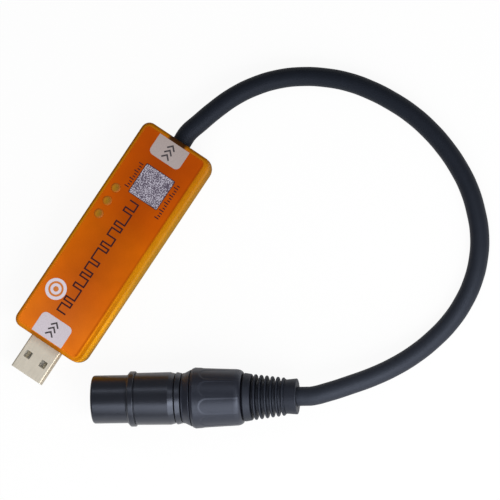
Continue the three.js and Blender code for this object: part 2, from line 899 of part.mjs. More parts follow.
function connectorShell() {
  const profile = [
    [0, noseRadius - noseEdge],
    [noseEdge * (1 - Math.SQRT1_2), noseRadius - noseEdge * (1 - Math.SQRT1_2)],
    [noseEdge, noseRadius],
    [noseLength, noseRadius],
    [noseLength, collarRadius - collarEdge],
    [noseLength + collarEdge, collarRadius],
    [collarEnd - collarEdge, collarRadius],
    [collarEnd, collarRadius - collarEdge],
    [collarEnd, barrelFrontRadius - grooveDepth],
    [barrelStart, barrelFrontRadius - grooveDepth],
    [barrelStart, barrelFrontRadius],
    [barrelStart + barrelLength, barrelRearRadius],
    [
      shellEnd - shoulderLength / 2,
      barrelRearRadius - (barrelRearRadius - shoulderRadius) * shoulderDropShare,
    ],
    [shellEnd, shoulderRadius],
    [shellEnd, shellBoreRadius],
    [0, shellBoreRadius],
  ];
  const window = block(
    [tabWindowStart, tabEnd + fitGap],
    across(tabHalfWidth + fitGap),
    [latchWellRadius, tabRadius + cutOverrun],
  );
  const shell = cutFrom(turnedAlongX(profile), [...latchSlot(), window]);
  return piece("connector_shell", shell, finishes.blackShell);
}

function polePlaces() {
  return poleAngles.map((angle) => [
    poleCircleRadius * Math.sin(angle),
    poleCircleRadius * Math.cos(angle),
  ]);
}

function connectorInsert() {
  const body = bar(sleeveRadius, [insertSetback, insertEnd], [0, 0]);
  const groove = block(
    [insertSetback - cutOverrun, insertEnd + cutOverrun],
    across(latchHalfWidth + fitGap),
    [latchWellRadius, shellBoreRadius],
  );
  const pivotPocket = block(
    span(pivotAlong, 2 * (pivotRadius + fitGap)),
    across(pivotHalfLength + fitGap),
    [latchWellRadius, shellBoreRadius],
  );
  const faceHoles = polePlaces().map((place) =>
    bar(
      socketBoreRadius + fitGap / 2,
      [insertSetback - cutOverrun, insertSetback + socketSetback],
      place,
      smallSides,
    ),
  );
  const chambers = polePlaces().map((place) =>
    bar(
      socketRadius + fitGap,
      [insertSetback + socketSetback - fitGap, insertEnd + cutOverrun],
      place,
      smallSides,
    ),
  );
  const insert = cutFrom(body, [groove, pivotPocket, ...faceHoles, ...chambers]);
  return piece("connector_insert", insert, finishes.blackPlastic);
}

function socketContact(index) {
  const front = insertSetback + socketSetback;
  const floor = front + socketBoreDepth;
  const barrelEnd = front + socketBarrelLength;
  const solid = turnedAlongX(
    [
      [floor, 0],
      [floor, socketBoreRadius],
      [front, socketBoreRadius],
      [front, socketRadius],
      [barrelEnd, socketRadius],
      [barrelEnd, solderCupRadius],
      [contactEnd, solderCupRadius],
      [contactEnd, solderCupBore],
      [contactEnd - solderCupDepth, solderCupBore],
      [contactEnd - solderCupDepth, 0],
    ],
    smallSides,
  );
  const mesh = piece("socket_contact_" + (index + 1), solid, finishes.gold);
  const [y, z] = polePlaces()[index];
  mesh.position.set(0, y, z);
  return mesh;
}

// The lever rocks on its two stub pins: its tab is pressed in, and the hook at its front follows
function latchLever() {
  const low = latchTopRadius - latchThickness;
  const hookTop = latchTopRadius + hookHeight;
  const hookEnd = hookSetback + hookLength;
  const rear = pivotAlong + pivotRadius;
  const arm = outline([
    [hookSetback, low],
    [tabEnd - tabEdge, low],
    [pivotAlong - pivotRadius, pivotHeight - pivotRadius],
    [rear, pivotHeight - pivotRadius],
    [rear, pivotHeight + pivotRadius],
    [tabEnd, pivotHeight + pivotRadius],
    [tabEnd, latchTopRadius],
    [hookEnd, latchTopRadius],
    [hookEnd, hookTop],
    [hookEnd - hookLength * hookFlatShare, hookTop],
    [hookSetback, latchTopRadius],
  ]);
  const ridges = [];
  const ridgePitch = (tabLength - 2 * tabEdge) / tabRidgeCount;
  for (let i = tabRidgeCount - 1; i >= 0; i--) {
    const start = tabStart + tabEdge + i * ridgePitch;
    ridges.push([start + ridgePitch, tabRadius]);
    ridges.push([start + ridgePitch / 2, tabRadius - tabRidgeDepth]);
  }
  const tab = outline([
    [tabStart, tabFootRadius],
    [tabEnd, tabFootRadius],
    [tabEnd, tabRadius - tabEdge],
    ...ridges,
    [tabStart + tabEdge, tabRadius],
    [tabStart, tabRadius - tabEdge],
  ]);
  const pin = new THREE.CylinderGeometry(pivotRadius, pivotRadius, 2 * pivotHalfLength, smallSides);
  pin.translate(pivotAlong, 0, pivotHeight);
  const lever = joined([drawnAcrossY(arm, latchHalfWidth), drawnAcrossY(tab, tabHalfWidth), solidOf(pin)]);
  return piece("latch_lever", lever, finishes.blackPlastic);
}

// A bent leaf between the insert's groove and the lever pushes the hook out
function latchSpring() {
  const footEnd = pivotAlong - springSetback;
  const bend = footEnd - springFootLength;
  const tip = bend - springArmLength;
  const low = latchWellRadius + fitGap;
  const high = latchTopRadius - latchThickness - fitGap;
  const profile = outline([
    [footEnd, low],
    [footEnd, low + springThickness],
    [bend, low + springThickness],
    [tip, high],
    [tip, high - springThickness],
    [bend, low],
  ]);
  return piece("latch_spring", drawnAcrossY(profile, springHalfWidth), finishes.springSteel);
}

function retainingRing() {
  const ringEnd = ringStart + ringLength;
  const ring = turnedAlongX([
    [ringStart, ringRadius - ringEdge],
    [ringStart + ringEdge, ringRadius],
    [ringEnd - ringEdge, ringRadius],
    [ringEnd, ringRadius - ringEdge],
    [ringEnd, shellBoreRadius],
    [ringStart, shellBoreRadius],
  ]);
  return piece("retaining_ring", ring, finishes.blackShell);
}

// The sleeve plugs into the shell, flares to the nut's width and carries the thread under the nut
function threadSleeve() {
  const landEnd = coneStart + coneLength * coneLandShare;
  const sleeve = turnedAlongX([
    [sleeveStart, sleeveRadius],
    [coneStart, sleeveRadius],
    [coneStart, coneFrontRadius],
    [landEnd, coneFrontRadius],
    [coneEnd, coneRearRadius],
    [coneEnd, threadRadius],
    [threadEnd, threadRadius],
    [threadEnd, sleeveBoreRadius],
    [sleeveStart, sleeveBoreRadius],
  ]);
  return piece("thread_sleeve", sleeve, finishes.blackPlastic);
}

function fluteCutter(index) {
  const taperStart = nutStart + nutChamferLength;
  const taperLength = nutLength - nutChamferLength - nutRoundLength;
  const slope = Math.atan2(nutTaper, taperLength);
  const start = nutStart + fluteSetback;
  const bottom = nutRadius - fluteDepth - (start - taperStart) * Math.tan(slope);
  const reach = nutLength - fluteSetback + cutOverrun;
  const shape = new THREE.Shape();
  shape.moveTo(reach, -fluteWidth / 2);
  shape.lineTo(reach, fluteWidth / 2);
  shape.lineTo(fluteWidth / 2, fluteWidth / 2);
  shape.absarc(fluteWidth / 2, 0, fluteWidth / 2, Math.PI / 2, Math.PI * 1.5);
  const geometry = raised(shape, [0, fluteDepth + fluteWidth]);
  geometry.rotateY(slope);
  geometry.translate(start, 0, bottom);
  geometry.rotateX(fluteTurn + (index * 2 * Math.PI) / fluteCount);
  return solidOf(geometry);
}

function couplingNut() {
  const rearRadius = nutRadius - nutTaper;
  const ledge = nutEnd - nutLedge;
  const roundStart = nutEnd - nutRoundLength;
  const body = turnedAlongX(
    [
      [nutStart, nutRadius - nutChamferDepth],
      [nutStart + nutChamferLength, nutRadius],
      [roundStart, rearRadius],
      ...nutRoundShares.map(([alongShare, depthShare]) => [
        roundStart + nutRoundLength * alongShare,
        rearRadius - nutRoundDepth * depthShare,
      ]),
      [nutEnd, rearRadius - nutRoundDepth],
      [nutEnd, bootNeckRadius + fitGap],
      [ledge, bootNeckRadius + fitGap],
      [ledge, nutBoreRadius],
      [nutStart, nutBoreRadius],
    ],
    fineSides,
  );
  const flutes = Array.from({ length: fluteCount }, (_, index) => fluteCutter(index));
  return piece("coupling_nut", cutFrom(body, flutes), finishes.blackPlastic);
}

// A split collet that the nut closes on the cable
function cableChuck() {
  const start = coneEnd + chuckSetback;
  const end = start + chuckLength;
  const radius = sleeveBoreRadius - fitGap;
  const body = turnedAlongX([
    [start, radius],
    [end, radius],
    [end, cableHoleRadius],
    [start, cableHoleRadius],
  ]);
  const slots = Array.from({ length: chuckSlotCount }, (_, index) => {
    const slot = new THREE.BoxGeometry(chuckLength, chuckSlotWidth, radius);
    slot.translate(end - chuckLength * (chuckSlotShare - 0.5), 0, radius / 2 + cableRadius);
    slot.rotateX((index * 2 * Math.PI) / chuckSlotCount);
    return solidOf(slot);
  });
  return piece("cable_chuck", cutFrom(body, slots), finishes.blackPlastic);
}

// The boot is caught under the nut by its flange, and its ribs let it bend with the cable
function boot() {
  const flangeStart = threadEnd + fitGap;
  const ledge = nutEnd - nutLedge - fitGap;
  const flangeEnd = Math.min(flangeStart + bootFlangeLength, ledge);
  const profile = [
    [flangeStart, threadRadius],
    [flangeEnd, threadRadius],
    [flangeEnd, bootNeckRadius],
    [bootCollarStart, bootNeckRadius],
    [bootCollarStart, bootCollarFrontRadius],
    [bootRibsStart, bootCollarRearRadius],
    [bootRibsStart, bootCoreRadius],
  ];
  for (let i = 0; i < bootRibCount; i++) {
    const centre = bootRibsStart + (i + bootRibPlaceShare) * bootRibPitch;
    const tipDrop = ((bootFirstRibRadius - bootLastRibRadius) * i) / (bootRibCount - 1);
    const tip = bootFirstRibRadius - tipDrop;
    profile.push([centre - bootRibRoot / 2, bootCoreRadius]);
    profile.push([centre - bootRibTip / 2, tip - bootRibRound]);
    profile.push([centre, tip]);
    profile.push([centre + bootRibTip / 2, tip - bootRibRound]);
    profile.push([centre + bootRibRoot / 2, bootCoreRadius]);
  }
  profile.push([bootEndStart, bootEndFrontRadius]);
  profile.push([connectorLength, bootEndRearRadius]);
  profile.push([connectorLength, cableHoleRadius]);
  profile.push([flangeStart, cableHoleRadius]);
  return piece("cable_boot", turnedAlongX(profile), finishes.blackRubber);
}

function connectorCableEnd() {
  const jacket = bar(cableRadius, [innerJacketStart, connectorLength], [0, 0]);
  return piece("connector_cable_end", jacket, finishes.jacket);
}

function connectorWire(index) {
  const [y, z] = polePlaces()[index];
  const drawIn = wireBundleRadius / poleCircleRadius;
  const start = new THREE.Vector3(contactEnd + fitGap, y, z);
  const end = new THREE.Vector3(innerJacketStart - fitGap, y * drawIn, z * drawIn);
  const path = new THREE.CubicBezierCurve3(
    start,
    start.clone().add(new THREE.Vector3(wireBend, 0, 0)),
    end.clone().add(new THREE.Vector3(-wireBend, 0, 0)),
    end,
  );
  const wire = tube(path, wireRadius, wireSides, wireSteps);
  return piece("connector_wire_" + (index + 1), wire, finishes.wires[index]);
}

// Assembly

const three = [0, 1, 2];
const part = new THREE.Group();
part.add(topShell(), bottomShell(), jacketStub(), cableTie(), cord());
part.add(...three.map(boardWire));

const boardGroup = new THREE.Group();
boardGroup.position.z = boardTopZ;
boardGroup.add(circuitBoard(), plugShell(), plugTongue(), ...[0, 1, 2, 3].map(plugContact));
const [supplyCapacitor, driverCapacitor] = [1, 2].map((number) =>
  chipPart("chip_capacitor_" + number, finishes.ceramic),
);
const supply = new THREE.Group();
const supplyRegulator = chip("voltage_regulator", regulator);
supplyRegulator.position.x = (regulator.length - moduleLength) / 2;
supplyCapacitor.position.x = (moduleLength - chipPartLength) / 2;
supply.add(supplyRegulator, supplyCapacitor);
const radio = new THREE.Group();
radio.add(radioModule(), radioShield());
fillColumn(boardGroup, 0, [
  [supply, widthWithPins(regulator)],
  [radio, moduleWidth],
]);
fillColumn(boardGroup, 1, [
  [chip("usb_bridge_chip", usbBridge), widthWithPins(usbBridge)],
  [crystal(), crystalWidth],
]);
fillColumn(boardGroup, 2, [[chip("processor", processor, true), widthWithPins(processor)]]);
fillColumn(boardGroup, 3, [
  [canCapacitor(), columnLengths[3]],
  [driverCapacitor, chipPartWidth],
]);
fillColumn(boardGroup, 4, [[chip("line_driver_chip", lineDriver), widthWithPins(lineDriver)]]);
for (const index of three) {
  const resistor = chipPart("led_resistor_" + (index + 1), finishes.chip);
  resistor.position.set(ledPlaces[index], ledY - resistorSetback, 0);
  boardGroup.add(led(index), resistor);
}
part.add(boardGroup);

const connectorGroup = new THREE.Group();
connectorGroup.position.copy(connectorFront);
connectorGroup.rotation.z = connectorTurn;
connectorGroup.add(retainingRing(), threadSleeve(), couplingNut(), cableChuck());
connectorGroup.add(boot(), connectorCableEnd());
const latchSide = new THREE.Group();
latchSide.rotation.x = latchTurn;
latchSide.add(connectorShell(), connectorInsert(), latchLever(), latchSpring());
latchSide.add(...three.map(socketContact), ...three.map(connectorWire));
connectorGroup.add(latchSide);
part.add(connectorGroup);

export default part;
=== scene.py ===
import json
import math

import bmesh
import bpy
from bpy.props import FloatProperty, FloatVectorProperty, IntProperty, PointerProperty
from bpy.types import Operator, Panel, PropertyGroup
from mathutils import Matrix, Vector


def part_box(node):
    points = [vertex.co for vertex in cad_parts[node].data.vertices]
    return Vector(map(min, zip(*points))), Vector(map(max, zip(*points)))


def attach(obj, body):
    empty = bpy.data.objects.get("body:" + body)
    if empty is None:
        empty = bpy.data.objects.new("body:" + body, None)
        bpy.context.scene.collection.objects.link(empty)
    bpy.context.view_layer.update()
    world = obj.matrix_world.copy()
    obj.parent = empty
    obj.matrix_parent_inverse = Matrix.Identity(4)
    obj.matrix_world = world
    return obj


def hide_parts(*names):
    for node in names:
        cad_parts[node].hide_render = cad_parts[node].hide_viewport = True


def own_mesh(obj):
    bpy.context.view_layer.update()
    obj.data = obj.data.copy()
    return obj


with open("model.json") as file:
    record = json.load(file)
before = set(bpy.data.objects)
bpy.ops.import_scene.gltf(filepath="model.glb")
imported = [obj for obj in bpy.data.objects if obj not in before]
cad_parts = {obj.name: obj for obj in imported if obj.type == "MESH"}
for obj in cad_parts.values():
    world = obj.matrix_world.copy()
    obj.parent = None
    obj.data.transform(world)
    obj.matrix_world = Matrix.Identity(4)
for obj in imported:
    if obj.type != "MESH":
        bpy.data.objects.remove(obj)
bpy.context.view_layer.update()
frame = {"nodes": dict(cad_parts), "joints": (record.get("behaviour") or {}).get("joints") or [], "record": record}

# A pocket lighting interface: a translucent orange housing with a USB plug, and a short black
# cable that ends in a round latching stage connector. Everything is in metres and in the frame of
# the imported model: +X runs from the plug's tip to the cable, +Z comes up out of the lid.

bl_info = {
    "name": "Pocket lighting interface",
    "version": (1, 0, 0),
    "blender": (4, 5, 0),
    "location": "3D View > Sidebar > Lighting interface",
    "description": "Dresses the packed model of a pocket lighting interface piece by piece",
    "category": "Object",
}

MM = 0.001
FINISHES = {}

# The cable's route over the table, from the housing to the connector's boot
CORD_ROUTE = [
    (0.0515, 0.0, 0.0067), (0.0565, -0.0013, 0.0065), (0.0632, -0.0032, 0.006),
    (0.0707, -0.006, 0.0053), (0.0777, -0.01, 0.0045), (0.0839, -0.0151, 0.0038),
    (0.0891, -0.0213, 0.0034), (0.0933, -0.0284, 0.0033), (0.0964, -0.0359, 0.0033),
    (0.0983, -0.0439, 0.0033), (0.0992, -0.0521, 0.0033), (0.0992, -0.0603, 0.0033),
    (0.0981, -0.0684, 0.0033), (0.096, -0.0763, 0.0033), (0.0929, -0.084, 0.0033),
    (0.0889, -0.0911, 0.0033), (0.0838, -0.0974, 0.0033), (0.0778, -0.103, 0.0033),
    (0.0709, -0.1072, 0.0033), (0.0633, -0.11, 0.0033), (0.0553, -0.1113, 0.0033),
    (0.0473, -0.1112, 0.0033), (0.0393, -0.1098, 0.0038), (0.0316, -0.1075, 0.0049),
    (0.0243, -0.1043, 0.0063), (0.0174, -0.1003, 0.0078), (0.0108, -0.0956, 0.0092),
    (0.005, -0.0911, 0.0101), (0.0003, -0.0868, 0.0104),
]


# Sizes and colours

def linear(text):
    """An sRGB hex colour as linear red, green, blue and alpha."""
    shares = [int(text[i:i + 2], 16) / 255 for i in (0, 2, 4)]
    return (*[c / 12.92 if c <= 0.04045 else ((c + 0.055) / 1.055) ** 2.4 for c in shares], 1.0)


def scaled(values):
    """Millimetres as metres."""
    return [value * MM for value in values]


def length(name, millimetres, description):
    """A size that a user can change."""
    return FloatProperty(
        name=name, description=description, default=millimetres * MM, min=0, unit="LENGTH"
    )


def tint(name, text, description):
    """A colour that a user can change."""
    return FloatVectorProperty(
        name=name, description=description, default=linear(text), size=4, min=0, max=1,
        subtype="COLOR",
    )


class HousingSettings(PropertyGroup):
    """Sizes and colours of the two translucent shells and of what is printed on the lid. Many shell tints hold
    painted glow, highlights and shade over the plastic's own colour
    """

    corner: length("Corner radius", 3, "Radius of the housing's upright corners at the lid")
    corner_foot: length("Foot corner radius", 4.4, "Radius of the same corners at the table")
    edge: length("Edge radius", 1.3, "Rounding of the lid's long edges")
    foot_edge: length("Foot edge radius", 0.6, "Rounding of the tray's long edges")
    wall: length("Wall", 1.7, "Thickness of the moulded walls")
    seam: length("Seam gap", 0.16, "Open line between the two shells")
    seam_chamfer: length("Seam chamfer", 0.14, "Broken edge on both sides of the seam")
    lip: length("Lip height", 1.2, "How far the tray's lip stands up inside the lid")
    lip_wall: length("Lip wall", 0.7, "Thickness of the tray's lip")
    fit_gap: length("Fit gap", 0.3, "Room round the plug and the cable in the end walls")
    lamp_radius: length("Lamp radius", 1.62, "Radius of a lamp's lens")
    lamp_rim: length("Lamp rim", 0.3, "Width of the rim at a lamp's foot, and rise of its lens")
    lamp_height: length("Lamp height", 5.3, "Height of a lamp's lens")
    lamp_gap: length("Lamp gap", 0.04, "Room round a lamp in the lid")
    lamp_lead: length("Lamp lead", 0.5, "Thickness of a lamp's leads")
    lamp_lead_spacing: length("Lead spacing", 2.54, "Between a lamp's two leads")
    print_height: length("Print height", 0.02, "How far the printed fields stand above the lid")
    print_line: length("Print line", 0.55, "Width of the printed lines")
    lid: tint("Lid", "C15E1E", "Middle of the lid's face, at the plug end")
    # Painted glow: the face is lighter near its edges
    lid_edge: tint("Lid edge", "DF7216", "The face near its edges")
    # Painted shade: a dark line where the turn starts, on the side towards the connector only
    edge_shade_line: tint("Edge line", "BE5A05", "Start of the turn, towards the connector")
    # Painted highlight: the bright line on the rounding, dimmer on the other three sides
    rounding: tint("Rounding", "E2880E", "Bright line on the long edge")
    end_rounding: tint("End rounding", "C4760C", "The same line on the other three sides")
    dip: tint("Dip", "B56900", "Shade under that line")
    # Painted glow in the side wall, where light leaves the translucent plastic
    upper_wall_glow: tint("Upper wall", "F8A80E", "Bright middle of the lid's side wall")
    seam_wall: tint("Wall at the seam", "F2A40A", "Side wall beside the seam")
    # Towards the cable: painted highlight on the rounding, painted shade under it, and painted glow in the wall
    far_rounding: tint("Far rounding", "EE940C", "Rounded edge towards the cable")
    far_dip: tint("Far dip", "D48504", "Shade under it, towards the cable")
    far_wall: tint("Far wall", "E49706", "Side wall towards the cable")
    far_seam: tint("Far wall at the seam", "CC8804", "Beside the seam, towards the cable")
    foot: tint("Foot", "B28335", "Side wall at the table")
    # Painted shade where the plug and the cable lie behind the end walls
    shade_over_plug: tint("Over the plug", "9C5A0E", "End wall above the plug")
    shade_over_cable: tint("Over the cable", "3E2208", "End wall above the cable")
    field: tint("Printed field", "CBC2CB", "Pale lilac fields under the marks")
    marks: tint("Marks", "3A3438", "Dark marks on the fields")
    line_marks: tint("Line marks", "361417", "Dark marks printed on the lid itself")
    lens: tint("Lamp lens", "94680E", "Middle of an unlit lamp")
    # Painted light in the lens: a darker near half and a lighter far half
    lens_shaded_half: tint("Lens, near side", "7A4408", "Its half towards the connector")
    lens_lit_half: tint("Lens, far side", "CE8210", "Its other half")
    lens_edge: tint("Lens edge", "AA580A", "Where the lid's orange shows through it")


class PlugSettings(PropertyGroup):
    """Sizes and colour of the USB plug's sheet steel"""

    height: length("Height", 4.5, "Outer height of the plug")
    sheet: length("Sheet", 0.3, "Thickness of the sheet steel")
    corner: length("Corner radius", 0.55, "Bend radius of the sheet")
    window_length: length("Window length", 2.55, "Length of the windows for the socket's springs")
    window_width: length("Window width", 2.45, "Width of the windows")
    window_setback: length("Window setback", 6.2, "From the tip to the windows' middle")
    window_spacing: length("Window spacing", 6.2, "Between the windows' middles")
    steel: tint("Steel", "F0E8D8", "Nickel-plated sheet")
    # Painted shade on the sheet's upright sides
    side: tint("Side", "C6C2BA", "Shade of the sheet's upright sides")


class ConnectorSettings(PropertyGroup):
    """Sizes and colours of the round latching connector"""

    nose: length("Nose radius", 8.2, "Part that goes into the socket")
    nose_edge: length("Nose edge", 0.8, "Rounding at the front of the nose")
    collar: length("Collar radius", 9.45, "Raised ring behind the nose")
    collar_length: length("Collar length", 2.19, "Length of the collar")
    collar_from_front: length("Collar setback", 12.64, "From the front face to the collar")
    collar_chamfer: length("Collar chamfer", 0.45, "Broken edge at the collar's front")
    nose_step: length("Nose step", 0.25, "Height of the step in front of the collar")
    barrel_front: length("Barrel front radius", 8.87, "Just behind the collar")
    barrel_rear: length("Barrel rear radius", 8.98, "Just before the shoulder")
    barrel_end: length("Barrel end", 26.79, "From the front face to the shoulder")
    shoulder: length("Shoulder radius", 8.45, "Rear end of the shell")
    bore: length("Bore radius", 7.1, "Inside of the shell")
    groove: length("Groove", 0.25, "Depth of the groove behind the collar")
    groove_width: length("Groove width", 0.2, "Width of that groove")
    fillet: length("Fillet", 0.2, "Broken edges of the turned and moulded parts")
    fit_gap: length("Fit gap", 0.3, "Room between fitted parts")
    ring: length("Ring radius", 8.98, "Front of the loose ring behind the shell")
    ring_slope: length("Ring slope", 0.45, "How much that ring narrows to the rear")
    cone_front: length("Cone front radius", 8.6, "Front of the sleeve's flare")
    cone_rear: length("Cone rear radius", 9.8, "Rear of the sleeve's flare")
    thread: length("Thread radius", 7.2, "Thread under the nut")
    thread_pitch: length("Thread pitch", 1, "Between two turns of that thread")
    sleeve_bore: length("Sleeve bore", 5.3, "Inside of the sleeve")
    socket_bore: length("Contact bore", 1.25, "Takes a pin of the other connector")
    socket: length("Contact radius", 1.7, "Outside of a socket contact")
    socket_cup: length("Solder cup", 3, "Depth of a contact's solder cup")
    socket_depth: length("Contact depth", 10, "How deep a pin can go")
    latch_well: length("Latch well", 4.6, "Floor of the latch's groove, from the axis")
    lever_top: length("Lever top", 7.9, "Top of the lever's arm, from the axis")
    lever_thickness: length("Lever thickness", 1.2, "Thickness of the lever's arm")
    lever_width: length("Lever width", 3.8, "Width of the lever's arm")
    lever_pivot_room: length("Pivot room", 1.55, "From the tab to the lever's rear")
    hook_length: length("Hook length", 2.9, "Length of the hook at the lever's front")
    hook_height: length("Hook height", 1.1, "How far the hook stands above the arm")
    tab_length: length("Tab length", 4.9, "Length of the tab that a thumb presses")
    tab_width: length("Tab width", 5, "Width of that tab")
    tab_top: length("Tab top", 10.1, "Top of the tab, from the axis")
    pivot: length("Pivot radius", 0.65, "Radius of the lever's pins")
    pivot_height: length("Pivot height", 5.6, "Height of those pins, from the axis")
    leaf: length("Leaf thickness", 0.3, "Thickness of the leaf spring")
    leaf_width: length("Leaf width", 2.4, "Width of the leaf spring")
    nut: length("Nut radius", 10.4, "Widest part of the coupling nut")
    nut_chamfer: length("Nut chamfer", 0.4, "Depth of the nut's front chamfer")
    nut_chamfer_length: length("Nut chamfer length", 0.9, "Length of that chamfer")
    nut_taper: length("Nut taper", 0.7, "How much the nut narrows to the rear")
    nut_round: length("Nut rounding", 2.6, "Length of the rounded rear end")
    nut_drop: length("Nut drop", 1.3, "How far that end curves in")
    nut_ledge: length("Nut ledge", 4.5, "Thickness of the nut's rear wall")
    flute_edge: length("Flute edge", 0.5, "Softness of a grip hollow's edge")
    flute_count: IntProperty(name="Flutes", description="Grip hollows round the nut", default=10)
    flute_width: length("Flute width", 5.3, "Width of a grip hollow")
    flute_depth: length("Flute depth", 0.13, "Depth of a grip hollow at its round end")
    flute_fade: FloatProperty(
        name="Flute fade", description="Share of that depth which is lost towards the rear",
        default=0.7, min=0, max=1, subtype="FACTOR",
    )
    flute_setback: length("Flute setback", 3.19, "From the nut's front to a hollow's round end")
    flute_turn: FloatProperty(
        name="Flute turn", description="Turn of the first hollow about the axis",
        default=math.radians(-12.8), subtype="ANGLE",
    )
    rib_count: IntProperty(name="Boot ribs", description="Ribs of the bend relief", default=6)
    rib_width: length("Rib width", 0.85, "Width of a rib at its foot")
    rib_first: length("First rib radius", 7.8, "Rib next to the nut")
    rib_last: length("Last rib radius", 6.55, "Rib next to the cable")
    boot_gap: length("Boot gap", 0.4, "Between the nut and the boot's collar")
    boot_collar: length("Boot collar", 2.7, "Length of the collar next to the nut")
    boot_front: length("Boot front radius", 8.35, "Front of that collar")
    boot_rear: length("Boot rear radius", 7.9, "Rear of that collar")
    boot_core: length("Boot core radius", 5.4, "Between the ribs")
    boot_neck: length("Boot neck radius", 6.3, "Where the nut holds the boot")
    boot_flange: length("Boot flange", 1.7, "Length of the flange in the nut")
    boot_tail: length("Boot tail", 4.1, "Length of the plain rear end")
    boot_tail_front: length("Tail front radius", 5.8, "Front of the rear end")
    boot_tail_rear: length("Tail rear radius", 6.15, "Rear of the rear end")
    metal: tint("Coated metal", "0F1016", "Black coat on the die-cast shell")
    plastic: tint("Nylon", "14161F", "Glass-filled nylon")
    rubber: tint("Boot", "10131B", "Soft boot")


class CableSettings(PropertyGroup):
    """Size and colour of the free cable"""

    diameter: length("Diameter", 6.6, "Outer diameter of the jacket")
    free_length: length("Free length", 230, "Between the housing and the connector's boot")
    jacket: tint("Jacket", "12161E", "Soft black jacket")


class StageSettings(PropertyGroup):
    """Camera, lamps and floor"""

    tilt: FloatProperty(
        name="Tilt", description="How far the camera leans from straight above",
        default=math.radians(10.5), subtype="ANGLE",
    )
    turn: FloatProperty(
        name="Turn", description="Angle of the housing in the picture",
        default=math.atan2(0.832, 0.5548), subtype="ANGLE",
    )
    view_width: length("View width", 170.6, "What the picture's width shows at the table")
    distance: length("Distance", 8000, "From the camera to the table")
    target: FloatVectorProperty(
        name="Target", description="Place on the table at the picture's middle",
        default=(0.0301, -0.03916, 0), subtype="TRANSLATION", unit="LENGTH",
    )
    floor: tint("Floor", "F4F4F4", "Pale table")
    sky: FloatProperty(name="Sky", description="Brightness of the even light", default=0.24, min=0)
    lamp_distance: length("Lamp distance", 550, "From the lamps to the table's middle")


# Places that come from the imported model

def joint(name):
    """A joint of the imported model."""
    return next(j for j in frame["joints"] if j["name"] == name)


HOUSING_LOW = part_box("bottom_shell")[0]
HOUSING_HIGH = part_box("top_shell")[1]
HOUSING_MIDDLE = (HOUSING_LOW + HOUSING_HIGH) / 2
CABLE_EXIT = Vector((HOUSING_HIGH.x, 0, HOUSING_MIDDLE.z))
BOARD_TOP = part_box("circuit_board")[1].z
CONNECTOR_AXIS = Vector(joint("nut_turn")["axis"]).normalized()
LATCH_PIN = Vector(joint("latch_press")["axis"]).normalized()
LATCH_OUT = LATCH_PIN.cross(CONNECTOR_AXIS).normalized()
AXIS_POINT = Vector(joint("nut_turn")["pos_m"])


def axial(node):
    """Front and rear of a CAD node along the connector's axis, from the axis point."""
    places = [(v.co - AXIS_POINT).dot(CONNECTOR_AXIS) for v in frame["nodes"][node].data.vertices]
    return min(places), max(places)


def frame_at(place, forward, up):
    """A frame with X forward and Z up at a place."""
    axes = Matrix((forward, up.cross(forward), up)).transposed()
    return Matrix.Translation(place) @ axes.to_4x4()


CONNECTOR_FRONT = AXIS_POINT + CONNECTOR_AXIS * axial("connector_shell")[0]
TO_CONNECTOR = frame_at(CONNECTOR_FRONT, CONNECTOR_AXIS, Vector((0, 0, 1)))
TO_LATCH = frame_at(CONNECTOR_FRONT, CONNECTOR_AXIS, LATCH_OUT)
# A form drawn in X and Y comes to lie along X, a turned form stands up, or an outline stands up
ALONG_X = Matrix(((0, 0, 1, 0), (1, 0, 0, 0), (0, 1, 0, 0), (0, 0, 0, 1)))
UPRIGHT = Matrix(((0, 1, 0, 0), (0, 0, 1, 0), (1, 0, 0, 0), (0, 0, 0, 1)))
ON_SIDE = Matrix(((1, 0, 0, 0), (0, 0, -1, 0), (0, 1, 0, 0), (0, 0, 0, 1)))
LAMPS = ["led_1", "led_2", "led_3"]
SOCKETS = ["socket_contact_1", "socket_contact_2", "socket_contact_3"]
PLUG_CONTACTS = ["usb_contact_1", "usb_contact_2", "usb_contact_3", "usb_contact_4"]
# Painted falloff of light on the lid's face and on the walls along the housing: the orange darkens away from the
# plug, which is nearer the lamps
FACE_LIGHT_FALLOFF = [
    (-34, "FFFFFF"), (-26, "F5F5F5"), (-14, "EADCAC"), (-6, "E1D383"), (8, "DED058"),
    (18, "D6BA3E"), (40, "C6A449"),
]
WALL_LIGHT_FALLOFF = [(-26, "FFFFFF"), (0, "D4D8B8"), (24, "C9CBA0"), (44, "C0BAA0")]
# Tints down the housing's skin, by millimetres past the lid's edge: the lid's face, and the walls
# below their rounding near the plug and near the cable. Over the plastic's own amber they hold
# painted highlights, painted glow and painted shade
FACE_BANDS = [(-12.5, "lid"), (-1, "lid_edge")]
PLUG_BANDS = [
    (2.2, "dip"), (4.6, "upper_wall_glow"), (7, "upper_wall_glow"), (8.4, "seam_wall"), (13, "foot"),
]
CABLE_BANDS = [
    (0.9, "far_dip"), (2.2, "far_dip"), (4.2, "far_wall"), (5.4, "far_wall"), (7.6, "far_seam"),
    (13, "foot"),
]
# The whole skin of the side towards the connector, which faces the lamps and carries painted light and shade, and
# of the others: near the plug and the cable
FRONT_SKIN = (
    [(-0.3, "edge_shade_line"), (0.3, "rounding"), (0.9, "dip"), *PLUG_BANDS],
    [(-0.9, "lid_edge"), (-0.4, "far_rounding"), *CABLE_BANDS],
)
OTHER_SKIN = (
    [(-0.3, "lid_edge"), (0.9, "end_rounding"), *PLUG_BANDS],
    [(-0.3, "lid_edge"), (0.3, "far_rounding"), *CABLE_BANDS],
)
# Where along the housing the one goes over into the other, and where the face goes over into the
# wall: down the lid's skin, and inward from the tray's rim, in millimetres
SKIN_TURN, LID_TURN, TRAY_TURN = (-22, 6), (-0.6, 0.2), (3, 1)
# Where the painted shade of what is behind an end wall starts and is full, in wall thicknesses from the end
PLUG_SHADE, CABLE_SHADE = (0.85, 0.5), (1.3, 0.75)
